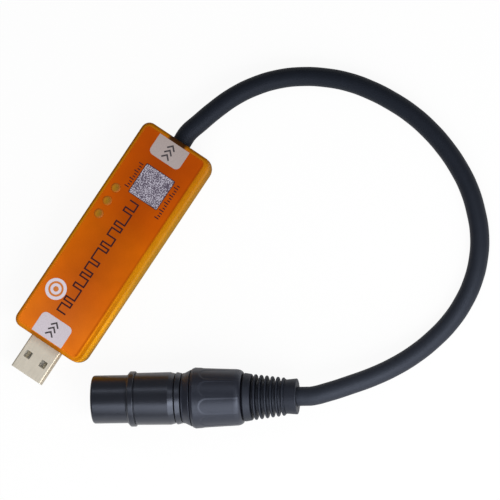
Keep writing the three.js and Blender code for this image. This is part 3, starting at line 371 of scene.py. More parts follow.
# Painted falloff of the cable's sheen across the table, from the connector's side, near the lamps, to the
# housing's cable end
SHEEN_FALLOFF = [
    (-40, "FFFFFF"), (-20, "EEEEEE"), (1, "D6D6D6"), (25, "BCBCBC"), (45, "B0B0B0"),
    (62, "9C9C9C"),
]
# The floor: half its width, its underside, and its face a hair under the table's level
FLOOR_HALF, FLOOR_HEIGHTS = 3.0, (-0.01, -0.00005)
# How far it glows white: to the camera and through clear parts, and in reflections
FLOOR_SEEN, FLOOR_MIRRORED = 0.93, 0.2
# Each soft lamp: name, degrees to the right and up from the camera's side, width and height in
# degrees as the object sees it, and how bright its face is
LIGHTS = [
    ("key", 20, -43, 66, 54, 3.3),
    ("strip", 0, 30, 60, 9, 2.2),
    ("accent", 24, -25, 24, 18, 5.5),
]
# Prints on the lid, in millimetres. Each field: its outer and inner end, and its two sides
FIELDS = [(-33.65, -25.8, -6.05, 6.17), (46.2, 38.7, -5.6, 6.73)]
# Radii of a field's outer and inner corners, and of the patch's and of its border's
FIELD_CORNERS, PATCH_CORNERS = (0.1, 1.8), (0.4, 0.5)
# The middle and radius of the disc, and the radii of the target on it: its ring's two and its dot's
DISC, DISC_RADIUS, TARGET_RADII = (-17.65, 6.84), 3.75, (2.65, 1.95, 0.95)
# The patch of dots: its two ends and its two sides, and the width of its dark border
PATCH, PATCH_RIM = (23.55, 35.35, -7.05, 4.85), 0.22
# The middles of the two groups of arrowheads, how many there are in each, their size, and the
# distance from one to the next as a share of it
ARROWS, ARROW_COUNT, ARROW_SIZE, ARROW_STEP = [(-29.7, 0.06), (42.45, 0.56)], 3, 2.9, 0.62
# Start, end, middle and height of the data wave and of each row of ticks, which also has a count
WAVE, TICKS = (-23.2, 21.6, 0.85, 3.4), [(25, 34, 6.3, 1.7, 10), (21.5, 34.5, -8.5, 1.7, 14)]
# Shares: of a short tick in a tall one, and of a tick's line in the other printed lines
SHORT_TICK, TICK_LINE = 0.62, 0.7
# How finely the nut is divided: round it, along it, and in its rounded rear end
NUT_SIDES, NUT_ROWS, NUT_ROUND = 360, 72, 12
# Where a turn of the thread leaves its root, reaches its crest and leaves it, as shares of a turn
THREAD = (0.25, 0.55, 0.75)
# Where a step of the tab ends, and where its groove begins and ends, as shares of a step
TAB_STEP = (0.95, 0.6, 0.4)
# Where the leaf spring lifts off, as a share of its length from the rear
LEAF_BEND = 0.466
# Lengths of the highs and lows of the printed data wave, one after the other
PULSES = [2, 1, 1, 3, 1, 2, 1, 1, 2, 1, 3, 1, 1, 2, 2, 1, 1, 3, 1, 2]


def reach(node):
    """Front and rear of a CAD node along the connector, from its front face."""
    start = axial("connector_shell")[0]
    return tuple(place - start for place in axial(node))


# Materials

# The blue cast of a gloss on black plastic and lacquer
COOL = linear("DDE7FF")
# The range in which nearly all values of a noise lie
NOISE = (0.3, 0.7)
# Plain finishes: slot or print, material, colour, roughness, mottling, size of the mottling in
# millimetres, metallic, and depth of the fine grain in millimetres
PLAIN_FINISHES = [
    # Polybutylene terephthalate, moulded: opaque pale grey
    ("plug_tongue", "moulded_polyester", "CBC8C0", 0.45, 0.06, 2, 0, 0.01),
    # A flash of gold over nickel, thinner than on the sockets: pale, with a low gloss
    ("plug_contacts", "flash_gold_over_nickel", "D6CDB6", 0.45, 0.05, 1, 0.4, 0.01),
    # Brass with thin plated gold: a clear warm yellow
    ("contact_gold", "gold_plated_brass", "C9B47E", 0.28, 0.06, 1.5, 1, 0.01),
    # Epoxy moulding compound: charcoal with a fine matt grain
    ("chip", "epoxy_compound", "1F2023", 0.55, 0.15, 0.8, 0, 0.01),
    # Drawn nickel silver and aluminium cans: pale metal with a soft gloss
    ("can_metal", "drawn_can", "BFC2C6", 0.32, 0.05, 2, 1, 0.01),
    # Fired barium titanate: matt tan
    ("ceramic", "fired_ceramic", "B39C7C", 0.6, 0.08, 0.5, 0, 0.01),
    # Natural nylon: milky white
    ("tie_nylon", "natural_nylon", "DDDBD2", 0.5, 0.04, 1.5, 0, 0.01),
    # Extruded PVC cores: plain colours with a low gloss
    ("wire_white", "white_core", "E4E2DC", 0.45, 0.04, 1, 0, 0.01),
    ("wire_red", "red_core", "AE2A20", 0.45, 0.06, 1, 0, 0.01),
    ("wire_black", "black_core", "222226", 0.45, 0.1, 1, 0, 0.01),
    # Rolled spring steel: blue-grey metal
    ("spring_steel", "spring_strip", "9DA1A6", 0.3, 0.05, 1, 1, 0.01),
    # Opaque pale ink, printed twice: an even lilac white with a soft gloss
    ("disc", "white_print", "D3CBD6", 0.45, 0.04, 0.5, 0, 0.003),
    # The lid's own orange, left bare inside the pale disc
    ("bare", "bare_orange", "C9742B", 0.45, 0.08, 1, 0, 0.003),
]


def chosen(group):
    """The settings of one group."""
    return getattr(bpy.context.scene, group + "_settings")


def new_tree(name):
    """The empty node tree of a new material."""
    material = bpy.data.materials.new(name)
    material.use_nodes = True
    material.node_tree.nodes.clear()
    return material, material.node_tree


def node(tree, kind, inputs=(), stops=(), **settings):
    """Adds a node. Inputs give a socket a value, another node or one of its outputs."""
    made = tree.nodes.new("ShaderNode" + kind)
    for name, value in settings.items():
        setattr(made, name, value)
    for socket, value in dict(inputs).items():
        if isinstance(value, bpy.types.Node):
            value = value.outputs[0]
        if isinstance(value, bpy.types.NodeSocket):
            tree.links.new(value, made.inputs[socket])
        else:
            made.inputs[socket].default_value = value
    for index, (place, colour) in enumerate(stops):
        elements = made.color_ramp.elements
        element = elements[index] if index < 2 else elements.new(place)
        element.position = place
        element.color = colour
    return made


def grey(value):
    """A grey of that linear value."""
    return (value, value, value, 1.0)


def maths(tree, operation, first, second=0):
    """A number from one or two others."""
    return node(tree, "Math", {0: first, 1: second}, operation=operation)


def vector(tree, operation, first, second=(0, 0, 0)):
    """A vector from one or two others, or a number where it is a length or a product."""
    made = node(tree, "VectorMath", {0: first, 1: second}, operation=operation)
    return made.outputs["Value" if operation in ("LENGTH", "DOT_PRODUCT") else "Vector"]


def own_place(tree):
    """The shaded point in the piece's own coordinates."""
    return node(tree, "TexCoord").outputs["Object"]


def axis(tree, index, place=None):
    """X, Y or Z of a place, by default of the shaded point."""
    source = own_place(tree) if place is None else place
    return node(tree, "SeparateXYZ", {0: source}).outputs[index]


def ranged(tree, value, start, end, low=0, high=1, smooth=False):
    """Takes a value from the range between start and end to that between low and high."""
    return node(
        tree, "MapRange", {0: value, 1: start, 2: end, 3: low, 4: high},
        interpolation_type="SMOOTHSTEP" if smooth else "LINEAR",
    )


def grain(tree, size, detail=2, stretch=(1, 1, 1)):
    """Noise with features of that real size, in the piece's own coordinates."""
    spread = node(tree, "Mapping", {"Vector": own_place(tree), "Scale": stretch})
    inputs = {"Vector": spread, "Scale": 1 / size, "Detail": detail}
    return node(tree, "TexNoise", inputs).outputs[0]


def shaded(tree, base, roughness, bump, depth, metallic=0, **sockets):
    """Ends a tree with a shader of that base colour, and a bump of that real depth."""
    relief = node(tree, "Bump", {"Height": bump, "Distance": depth})
    inputs = {"Base Color": base, "Metallic": metallic, "Roughness": roughness, "Normal": relief}
    inputs.update({name.replace("_", " "): value for name, value in sockets.items()})
    node(tree, "OutputMaterial", {"Surface": node(tree, "BsdfPrincipled", inputs)})


def mixed(tree, factor, first, second, blend="MIX"):
    """The colour output of a mix of two colours."""
    inputs = {0: factor, 6: first, 7: second}
    return node(tree, "Mix", inputs, data_type="RGBA", blend_type=blend).outputs[2]


def mottled(tree, base, noise, low, high):
    """A colour that noise takes between two shares of itself."""
    return mixed(tree, 1, base, ranged(tree, noise, *NOISE, low, high), "MULTIPLY")


def banded(tree, place, bands):
    """The colour of a ramp whose stops are lengths in millimetres."""
    first, last = bands[0][0], bands[-1][0]
    share = ranged(tree, place, first * MM, last * MM)
    stops = [((at - first) / (last - first), colour) for at, colour in bands]
    return node(tree, "ValToRGB", {0: share}, stops).outputs[0]


def toned(tree, base, tones, place):
    """A colour toned down along a way, by colours at places in millimetres."""
    bands = [(at, linear(text)) for at, text in tones]
    return mixed(tree, 1, base, banded(tree, place, bands), "MULTIPLY")


def rim_places(tree):
    """The point from the housing's middle, and how far it lies past the centres of the corners."""
    corner = chosen("housing").corner
    half = (HOUSING_HIGH - HOUSING_LOW) / 2
    middle = (HOUSING_MIDDLE.x, HOUSING_MIDDLE.y, 0)
    from_middle = vector(tree, "SUBTRACT", own_place(tree), middle)
    folded = vector(tree, "ABSOLUTE", from_middle)
    # Height has no part in it: a metre keeps that axis below zero
    return from_middle, vector(tree, "SUBTRACT", folded, (half.x - corner, half.y - corner, 1))


def rim_distance(tree):
    """How far inside the housing's outline a point lies, seen from above, in metres."""
    past = rim_places(tree)[1]
    round_part = vector(tree, "LENGTH", vector(tree, "MAXIMUM", past))
    larger = maths(tree, "MAXIMUM", axis(tree, 0, past), axis(tree, 1, past))
    outside = maths(tree, "ADD", round_part, maths(tree, "MINIMUM", larger))
    return maths(tree, "SUBTRACT", chosen("housing").corner, outside)


def front_share(tree):
    """1 on the long side towards the connector, which faces the lamps and gets the painted light and shade of that
    side, and 0 on the others, with a turn in the corners.
    """
    from_middle, past = rim_places(tree)
    outer = vector(tree, "MAXIMUM", past)
    endward = axis(tree, 0, outer)
    both = maths(tree, "ADD", endward, axis(tree, 1, outer))
    long_side = ranged(tree, maths(tree, "DIVIDE", endward, both), 0.75, 0.35, smooth=True)
    towards = maths(tree, "LESS_THAN", axis(tree, 1, from_middle))
    return maths(tree, "MULTIPLY", long_side, towards)


def end_shade(tree, start, full, half_width):
    """Rises to 1 in an end wall above the plug or the cable, where painted shade stands for what shows through it.
    """
    near_end = ranged(tree, axis(tree, 0), start, full, smooth=True)
    aside = maths(tree, "ABSOLUTE", axis(tree, 1))
    above = ranged(tree, aside, half_width * 1.25, half_width * 0.8, smooth=True)
    upper = ranged(tree, axis(tree, 2), HOUSING_MIDDLE.z / 2, HOUSING_MIDDLE.z, smooth=True)
    return maths(tree, "MULTIPLY", maths(tree, "MULTIPLY", near_end, above), upper)


def skin_depth(tree, rim):
    """Way down the housing's skin: below zero on the lid's face, and above it past its edge."""
    down = maths(tree, "SUBTRACT", HOUSING_HIGH.z, axis(tree, 2))
    return maths(tree, "ADD", down, maths(tree, "SUBTRACT", chosen("housing").edge, rim))


def dyed_polycarbonate(name, under, gloss, grain_depth):
    """Polycarbonate, dyed orange and moulded against a fine spark-eroded face, which gives a satin
    gloss. Light that enters it leaves again through edges and walls; that glow is painted into its
    colour as bright amber bands that follow the long edge, with painted highlights and painted shade,
    strongest on the side towards the connector. The face is a deeper orange with soft clouds, painted
    darker away from the plug where the light falls off."""
    s = chosen("housing")
    material, tree = new_tree(name)
    rim = rim_distance(tree)
    skin = skin_depth(tree, rim)

    def bands(rows):
        return banded(tree, skin, [(at, getattr(s, tint_name)) for at, tint_name in rows])

    onward = ranged(tree, axis(tree, 0), *scaled(SKIN_TURN), smooth=True)
    front, others = [
        mixed(tree, onward, bands(near), bands(far)) for near, far in (FRONT_SKIN, OTHER_SKIN)
    ]
    front_side = front_share(tree)
    wall = mixed(tree, front_side, others, front)
    if under:
        # The underside has the lid's plain orange, inward of its edge
        past = ranged(tree, rim, *scaled(TRAY_TURN), smooth=True)
        lid = s.lid
    else:
        past = ranged(tree, skin, *scaled(LID_TURN), smooth=True)
        lid = mixed(
            tree, front_side, bands(FACE_BANDS), bands([*FACE_BANDS, FRONT_SKIN[0][0]])
        )
    face = toned(tree, lid, FACE_LIGHT_FALLOFF, axis(tree, 0))
    shown = mixed(tree, past, face, toned(tree, wall, WALL_LIGHT_FALLOFF, axis(tree, 0)))
    shown = mottled(tree, shown, grain(tree, 6 * MM), 0.95, 1.05)
    shown = mottled(tree, shown, grain(tree, 0.5 * MM), 0.985, 1.015)
    plug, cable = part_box("usb_plug_shell")[1].y, chosen("cable").diameter / 2
    shade_over_plug = end_shade(tree, *[HOUSING_LOW.x + share * s.wall for share in PLUG_SHADE], plug)
    shade_over_cable = end_shade(
        tree, *[HOUSING_HIGH.x - share * s.wall for share in CABLE_SHADE], cable
    )
    # Painted shade in the end walls above the plug and the cable
    shown = mixed(tree, shade_over_plug, shown, s.shade_over_plug)
    shown = mixed(tree, shade_over_cable, shown, s.shade_over_cable)
    shine = ranged(tree, grain(tree, 4 * MM), 0, 1, gloss * 0.85, gloss * 1.15)
    shaded(
        tree, shown, shine, grain(tree, 0.25 * MM), grain_depth, IOR=1.585, Specular_IOR_Level=0.03
    )
    return material


def nickel_sheet():
    """Rolled steel sheet with a satin nickel plate. It is a warm pale grey, with hair lines along
    the rolling direction that spread its highlights."""
    s = chosen("plug")
    material, tree = new_tree("nickel_plated_sheet")
    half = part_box("usb_plug_shell")[1].y
    # The upright sides get painted shade
    aside = maths(tree, "ABSOLUTE", axis(tree, 1))
    at_side = ranged(tree, aside, half - s.corner, half - s.corner / 3)
    shade = mixed(tree, at_side, grey(1), s.side)
    steel = mottled(tree, s.steel, grain(tree, 3 * MM, 3), 0.96, 1.02)
    lines = grain(tree, 0.12 * MM, 3, stretch=(0.04, 1, 1))
    gloss = ranged(tree, lines, *NOISE, 0.42, 0.54)
    shaded(tree, mixed(tree, 1, steel, shade, "MULTIPLY"), gloss, lines, 0.002 * MM, 0.75)
    return material


def plain_finish(name, colour, roughness, mottle, size, depth, metallic=0, **sockets):
    """A moulded, drawn or printed finish: one colour with soft mottling of a real size."""
    material, tree = new_tree(name)
    noise = grain(tree, size, 3)
    base = mottled(tree, colour, noise, 1 - mottle, 1 + mottle)
    gloss = ranged(tree, noise, 0, 1, roughness * 0.9, roughness * 1.1)
    shaded(tree, base, gloss, grain(tree, size / 8), depth, metallic, **sockets)
    return material


def coated_zinc():
    """Die-cast zinc with a black satin coat. It is nearly black, and shows soft, slightly blue
    streaks of the lamps with a faint cast grain."""
    return plain_finish(
        "black_coated_zinc", chosen("connector").metal, 0.31, 0.06, 3 * MM, 0.0006 * MM,
        Specular_IOR_Level=0.7, Specular_Tint=COOL,
    )


def glass_nylon():
    """Glass-filled nylon, moulded. The fibres near the skin give a dull, slightly grey black."""
    return plain_finish(
        "glass_filled_nylon", chosen("connector").plastic, 0.42, 0.15, 2 * MM, 0.008 * MM,
        Specular_IOR_Level=0.62, Specular_Tint=COOL,
    )


def boot_elastomer():
    """Thermoplastic elastomer, moulded. Soft and matt, with a dusty sheen at grazing angles."""
    return plain_finish(
        "boot_elastomer", chosen("connector").rubber, 0.55, 0.12, 1.5 * MM, 0.012 * MM,
        Specular_IOR_Level=0.48, Specular_Tint=COOL,
    )


def cable_jacket():
    """Soft PVC, extruded over the cores. It is a blue-black satin. Its sheen is painted to fade from
    beside the connector towards the housing's cable end, farther from the lamps."""
    material, tree = new_tree("extruded_pvc_jacket")
    noise = grain(tree, 2.5 * MM, 3)
    base = mottled(tree, chosen("cable").jacket, noise, 0.92, 1.08)
    onward = vector(tree, "DOT_PRODUCT", own_place(tree), (0.83, 0.555, 0))
    shaded(
        tree, base, ranged(tree, noise, 0, 1, 0.57, 0.67), grain(tree, 0.3 * MM), 0.004 * MM,
        Specular_IOR_Level=0.52, Specular_Tint=toned(tree, COOL, SHEEN_FALLOFF, onward),
    )
    return material


def solder_mask():
    """Glass-epoxy laminate under green solder mask. The copper tracks below the mask show as
    slightly raised, lighter lines on a 1.27 mm grid."""
    material, tree = new_tree("solder_mask_laminate")
    tracks = node(tree, "TexBrick", {
        0: own_place(tree), 1: linear("1C4A2E"), 2: linear("22583A"), 3: linear("2E6E48"),
        "Scale": 1, "Mortar Size": 0.12 * MM, "Brick Width": 5.08 * MM, "Row Height": 1.27 * MM,
    })
    shaded(tree, tracks.outputs[0], 0.35, tracks.outputs[1], 0.02 * MM, IOR=1.55)
    return material


def lamp_lens():
    """Epoxy lamp body, cast and filled to spread light. Unlit, it is a cloudy olive yellow. The
    light that falls in from the connector's side gathers in its far half; this is painted, as a
    darker near half and a lighter far half, and the lid's orange shows through its edge."""
    s = chosen("housing")
    material, tree = new_tree("diffused_epoxy")
    low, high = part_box("led_1")
    middle, radius = (low.y + high.y) / 2 / MM, s.lamp_radius
    lens = banded(tree, axis(tree, 1), [
        (middle - radius / MM, s.lens_shaded_half), (middle, s.lens), (middle + radius / MM, s.lens_lit_half),
    ])
    # From the lamp's axis, by the share of the lamp's own box, so that it holds for all three
    within = node(tree, "TexCoord").outputs["Generated"]
    flat = vector(
        tree, "MULTIPLY", vector(tree, "SUBTRACT", within, (0.5, 0.5, 0)),
        (high.x - low.x, high.y - low.y, 0),
    )
    at_edge = ranged(tree, vector(tree, "LENGTH", flat), radius / 2, radius, smooth=True)
    edged = mixed(tree, at_edge, lens, s.lens_edge)
    base = mottled(tree, edged, grain(tree, 1.2 * MM, 3), 0.96, 1.04)
    shaded(
        tree, base, 0.45, grain(tree, 0.3 * MM), 0.002 * MM, IOR=1.5, Specular_IOR_Level=0.2
    )
    return material


def printed_field():
    """Screen-printed ink, opaque and flat. The lilac grey has a faint grain of the mesh, and is painted darker
    towards the cable end where the light falls off.
    """
    material, tree = new_tree("screen_printed_field")
    place = ranged(tree, axis(tree, 0), HOUSING_LOW.x, HOUSING_HIGH.x)
    stops = [(0, chosen("housing").field), (1, linear("A39692"))]
    # Painted falloff of light: darker towards the cable end
    field_falloff = node(tree, "ValToRGB", {0: place}, stops)
    base = mottled(tree, field_falloff, grain(tree, 0.5 * MM, 3), 0.95, 1.05)
    shaded(tree, base, 0.45, grain(tree, 0.2 * MM), 0.003 * MM)
    return material


def printed_dots():
    """The same ink with a dense field of dark dots over it, in a loose staggered pattern."""
    material, tree = new_tree("screen_printed_dots")
    inputs = {"Vector": own_place(tree), "Scale": 1 / (0.45 * MM), "Randomness": 0.75}
    cells = node(tree, "TexVoronoi", inputs, voronoi_dimensions="2D")
    sizes = ranged(tree, grain(tree, 2.2 * MM), *NOISE, 0.3, 0.62)
    dots = maths(tree, "LESS_THAN", cells.outputs["Distance"], sizes)
    base = mixed(tree, dots, linear("B3AEBB"), linear("544B5C"))
    shaded(tree, base, 0.45, grain(tree, 0.2 * MM), 0.003 * MM)
    return material


def printed_marks():
    """Dark ink on the pale fields."""
    return plain_finish("dark_print", chosen("housing").marks, 0.5, 0.15, 1 * MM, 0.003 * MM)


def printed_lines():
    """Dark ink straight on the orange lid, which tints it a little."""
    return plain_finish(
        "dark_line_print", chosen("housing").line_marks, 0.5, 0.1, 1 * MM, 0.002 * MM,
        Specular_IOR_Level=0.2,
    )


def make_finishes():
    """A material for each slot of the record, and for each print."""
    finishes = {
        "lid_plastic": dyed_polycarbonate("orange_polycarbonate", False, 0.7, 0.002 * MM),
        "tray_plastic": dyed_polycarbonate("amber_polycarbonate", True, 0.75, 0.001 * MM),
        "plug_steel": nickel_sheet(),
        "board": solder_mask(),
        "led_lens": lamp_lens(),
        "cable_jacket": cable_jacket(),
        "connector_metal": coated_zinc(),
        "connector_plastic": glass_nylon(),
        "boot_rubber": boot_elastomer(),
        "field": printed_field(),
        "dots": printed_dots(),
        "marks": printed_marks(),
        "lines": printed_lines(),
    }
    for slot, name, text, roughness, mottle, size, metallic, depth in PLAIN_FINISHES:
        finishes[slot] = plain_finish(
            name, linear(text), roughness, mottle, size * MM, depth * MM, metallic
        )
    return finishes


# Mesh tools

# An edge of a turned part is sharp where its faces meet at more than this
TURNED_CREASE = math.radians(40)


def held(share):
    """A share, held between 0 and 1."""
    return max(0, min(1, share))


def turns(sides):
    """Even angles all the way round."""
    return [math.tau * i / sides for i in range(sides)]


def softened(corners, closed=False, steps=5):
    """Points of an outline with rounded corners. Each corner is (x, y, radius)."""
    points = []
    count = len(corners)
    for i, (x, y, radius) in enumerate(corners):
        if radius <= 0 or (not closed and i in (0, count - 1)):
            points.append((x, y))
            continue
        here = Vector((x, y))
        before = (Vector(corners[i - 1][:2]) - here).normalized()
        after = (Vector(corners[(i + 1) % count][:2]) - here).normalized()
        half = before.angle(after) / 2
        centre = here + (before + after).normalized() * radius / math.sin(half)
        start = here + before * radius / math.tan(half) - centre
        end = here + after * radius / math.tan(half) - centre
        first = math.atan2(start.y, start.x)
        turn = math.remainder(math.atan2(end.y, end.x) - first, math.tau)
        for k in range(steps + 1):
            a = first + turn * k / steps
            points.append((centre.x + radius * math.cos(a), centre.y + radius * math.sin(a)))
    return points


def rectangle(x0, x1, y0, y1, radius=0, steps=8):
    """A rectangle's outline, with round corners if it has a radius."""
    corners = [(x0, y0, radius), (x1, y0, radius), (x1, y1, radius), (x0, y1, radius)]
    return softened(corners, closed=True, steps=steps)


def ring_outline(centre, radius, sides=64):
    """A circle's outline."""
    x, y = centre
    return [(x + radius * math.cos(a), y + radius * math.sin(a)) for a in turns(sides)]


def ribbon(points, width):
    """The outline of a line with mitred corners."""
    places = [Vector(point) for point in points]
    left, right = [], []
    for i, place in enumerate(places):
        ahead = places[min(i + 1, len(places) - 1)] - place
        behind = place - places[max(i - 1, 0)]
        ahead = (ahead if ahead.length else behind).normalized()
        behind = (behind if behind.length else ahead).normalized()
        along = (ahead + behind).normalized()
        side = Vector((-along.y, along.x)) * (width / 2 / max(along.dot(ahead), 0.3))
        left.append(tuple(place + side))
        right.append(tuple(place - side))
    return left + right[::-1]


def raised(outline, *heights):
    """Copies of an outline in X and Y, one at each height."""
    return [[(x, y, height) for x, y in outline] for height in heights]


def loft(bm, rings, closed=False):
    """Skins rings of equally many points. Its ends are capped, unless it closes on itself."""
    rows = [[bm.verts.new(point) for point in ring] for ring in rings]
    following = rows[1:] + rows[:1] if closed else rows[1:]
    for row, after in zip(rows, following):
        for i in range(len(row)):
            j = (i + 1) % len(row)
            bm.faces.new((row[i], row[j], after[j], after[i]))
    if not closed:
        bm.faces.new(rows[0])
        bm.faces.new(rows[-1])


def skinned(*forms, closed=False):
    """A new mesh with a skin over the rings of each form."""
    bm = bmesh.new()
    for rings in forms:
        loft(bm, rings, closed)
    return bm


def turned(profile, sides=96, closed=True):
    """A turned form about the X axis from (along, radius) points."""
    return skinned([
        [(along, radius * math.cos(a), radius * math.sin(a)) for a in turns(sides)]
        for along, radius in profile
    ], closed=closed)


def slab(outline, low, high):
    """An outline in X and Y raised from low to high."""
    return skinned(raised(outline, low, high))


def linked(name, data):
    """A new object in the scene."""
    made = bpy.data.objects.new(name, data)
    bpy.context.scene.collection.objects.link(made)
    return made


def solid(name, bm, transform=None):
    """A linked object with outward faces, from a bmesh."""
    if transform is not None:
        bm.transform(transform)
    bmesh.ops.recalc_face_normals(bm, faces=bm.faces)
    mesh = bpy.data.meshes.new(name)
    bm.to_mesh(mesh)
    bm.free()
    return linked(name, mesh)


def applied(made):
    """The object with its modifiers worked into its mesh."""
    graph = bpy.context.evaluated_depsgraph_get()
    mesh = bpy.data.meshes.new_from_object(made.evaluated_get(graph))
    old = made.data
    made.modifiers.clear()
    made.data = mesh
    bpy.data.meshes.remove(old)
    return made


def carved(made, cutters):
    """Cuts solids out of an object, and deletes them."""
    for cutter in cutters:
        modifier = made.modifiers.new("cut", "BOOLEAN")
        modifier.operation = "DIFFERENCE"
        modifier.solver = "EXACT"
        modifier.object = cutter
    applied(made)
    for cutter in cutters:
        bpy.data.objects.remove(cutter)
    # The cuts leave doubled points and slivers, which are merged
    bm = bmesh.new()
    bm.from_mesh(made.data)
    bmesh.ops.remove_doubles(bm, verts=bm.verts, dist=MM / 1000)
    bmesh.ops.dissolve_degenerate(bm, edges=bm.edges, dist=MM / 1000)
    bm.to_mesh(made.data)
    bm.free()
    return made


def bevelled(made, width):
    """Breaks an object's sharp edges."""
    modifier = made.modifiers.new("edges", "BEVEL")
    modifier.width = width
    modifier.segments = 2
    modifier.limit_method = "ANGLE"
    modifier.angle_limit = math.radians(50)
    return applied(made)


def dress(made, slot, body="interface", replaces=(), material=None, crease=math.radians(32)):
    """Gives a piece its finish and shading, and lets it ride on a body."""
    mesh = made.data
    mesh.materials.clear()
    mesh.materials.append(FINISHES[material or slot])
    mesh.shade_smooth()
    mesh.set_sharp_from_angle(angle=crease)
    # Flats stay flat beside their roundings
    made.modifiers.new("flats", "WEIGHTED_NORMAL").keep_sharp = True
    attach(made, body)
    if replaces:
        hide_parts(*replaces)
    return made


# Finishes, camera and cable

class INTERFACE_OT_finishes(Operator):
    """Mixes every finish of the object"""

    bl_idname = "lighting_interface.finishes"
    bl_label = "Finishes"

    def execute(self, context):
        FINISHES.update(make_finishes())
        return {"FINISHED"}


class INTERFACE_OT_camera(Operator):
    """Puts the camera above the table, leaning a little, with a long lens"""

    bl_idname = "lighting_interface.camera"
    bl_label = "Camera"

    def execute(self, context):
        s = context.scene.stage_settings
        away = Vector((0, math.cos(s.tilt), math.sin(s.tilt)))
        side = Vector((1, 0, 0))
        back = side.cross(away)
        right = side * math.cos(s.turn) - away * math.sin(s.turn)
        up = side * math.sin(s.turn) + away * math.cos(s.turn)
        data = bpy.data.cameras.new("camera")
        data.lens = data.sensor_width * s.distance / s.view_width
        data.clip_start = s.distance / 100
        data.clip_end = s.distance * 20
        camera = linked("camera", data)
        axes = Matrix((right, up, back)).transposed().to_4x4()
        camera.matrix_world = Matrix.Translation(Vector(s.target) + back * s.distance) @ axes
        context.scene.camera = camera
        return {"FINISHED"}


class INTERFACE_OT_cable(Operator):
    """Lays the free cable over the table, from the housing to the connector's boot"""

    bl_idname = "lighting_interface.cable"
    bl_label = "Free cable"

    def execute(self, context):
        radius = context.scene.cable_settings.diameter / 2
        rear = reach("connector_cable_end")[1]
        # The last stretch runs straight into the boot
        ends = [TO_CONNECTOR @ Vector((along, 0, 0)) for along in (rear + radius, rear)]
        route = [CABLE_EXIT, *map(Vector, CORD_ROUTE), *ends]
        data = bpy.data.curves.new("free_cable", "CURVE")
        data.dimensions = "3D"
        data.resolution_u = 12
        data.bevel_depth = radius
        data.bevel_resolution = 10
        data.use_fill_caps = True
        spline = data.splines.new("BEZIER")
        spline.bezier_points.add(len(route) - 1)
        for point, place in zip(spline.bezier_points, route):
            point.co = place
            point.handle_left_type = point.handle_right_type = "AUTO"
        cable = linked("free_cable", data)
        data.materials.append(FINISHES["cable_jacket"])
        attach(cable, "interface")
        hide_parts("dmx_cord")
        return {"FINISHED"}


class INTERFACE_OT_cable_facts(Operator):
    """Does nothing: it returns at once"""

    bl_idname = "lighting_interface.cable_facts"
    bl_label = "Facts of the cable"

    def execute(self, context):
        return {"FINISHED"}


class INTERFACE_OT_inner_parts(Operator):
    """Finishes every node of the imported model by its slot"""

    bl_idname = "lighting_interface.inner_parts"
    bl_label = "Finish of the packed nodes"

    def execute(self, context):
        for part in frame["record"]["subparts"]:
            target = frame["nodes"][part["node"]]
            material = FINISHES[part["material_slot"]]
            if not target.material_slots:
                target.data.materials.append(material)
            for slot in target.material_slots:
                slot.material = material
        return {"FINISHED"}


# Housing

def plan(inset, height):
    """The housing's outline at a height, drawn in by an inset. Its corners open up downwards."""
    s = chosen("housing")
    low, high = HOUSING_LOW, HOUSING_HIGH
    down = held((high.z - s.edge - height) / (high.z - s.edge))
    outer = s.corner + (s.corner_foot - s.corner) * down
    radius = (outer if inset < s.edge else s.corner) - inset
    outline = rectangle(low.x + inset, high.x - inset, low.y + inset, high.y - inset, radius)
    return raised(outline, height)[0]


def shell(name, outer_height, seam_height, edge, inside, steps=7):
    """One of the two shells: from its flat face round the long edge to the seam, and then over its
    inside, which is given by insets and heights."""
    chamfer = chosen("housing").seam_chamfer
    inward = 1 if outer_height > seam_height else -1
    places = [(edge + edge / 4, outer_height)]
    for k in range(steps + 1):
        angle = math.pi / 2 * k / steps
        height = outer_height - inward * edge * (1 - math.cos(angle))
        places.append((edge * (1 - math.sin(angle)), height))
    places += [(0, seam_height + inward * chamfer), (chamfer, seam_height), *inside]
    return solid(name, skinned([plan(inset, height) for inset, height in places]))


def opening_cutters():
    """Solids of the plug's and the cable's openings."""
    s = chosen("housing")
    wall, gap = s.wall, s.fit_gap
    low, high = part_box("usb_plug_shell")
    outline = rectangle(
        low.y - gap, high.y + gap, BOARD_TOP - gap, high.z + gap, chosen("plug").corner + gap
    )
    plug = slab(outline, HOUSING_LOW.x - wall, HOUSING_LOW.x + 2 * wall)
    radius, end = chosen("cable").diameter / 2 + gap, HOUSING_HIGH.x
    hole = [
        (end - 2 * wall, radius), (end - gap, radius), (end, radius + gap / 2),
        (end + wall, radius + gap / 2),
    ]
    lift = Matrix.Translation((0, 0, HOUSING_MIDDLE.z))
    cable = turned(hole, 64, closed=False)
    return [solid("plug_opening", plug, ALONG_X), solid("cable_opening", cable, lift)]


class INTERFACE_OT_lid(Operator):
    """Moulds the lid, with its lamp holes and its halves of the end openings"""

    bl_idname = "lighting_interface.lid"
    bl_label = "Lid"

    def execute(self, context):
        s = context.scene.housing_settings
        wall, gap, top = s.wall, s.seam, HOUSING_HIGH.z
        seam, step = HOUSING_MIDDLE.z + gap / 2, HOUSING_MIDDLE.z + s.lip + gap
        rebate = wall - s.lip_wall - gap
        inside = [(rebate, seam), (rebate, step), (wall, step), (wall, top - wall)]
        lid = shell("lid", top, seam, s.edge, inside)
        cutters = opening_cutters()
        radius = s.lamp_radius + s.lamp_gap
        for name in LAMPS:
            hole = turned([(-2 * wall, radius), (wall, radius)], 48, closed=False)
            cutters.append(solid("lamp_hole", hole, lamp_place(name, top)))
        dress(carved(lid, cutters), "lid_plastic", replaces=["top_shell"])
        return {"FINISHED"}


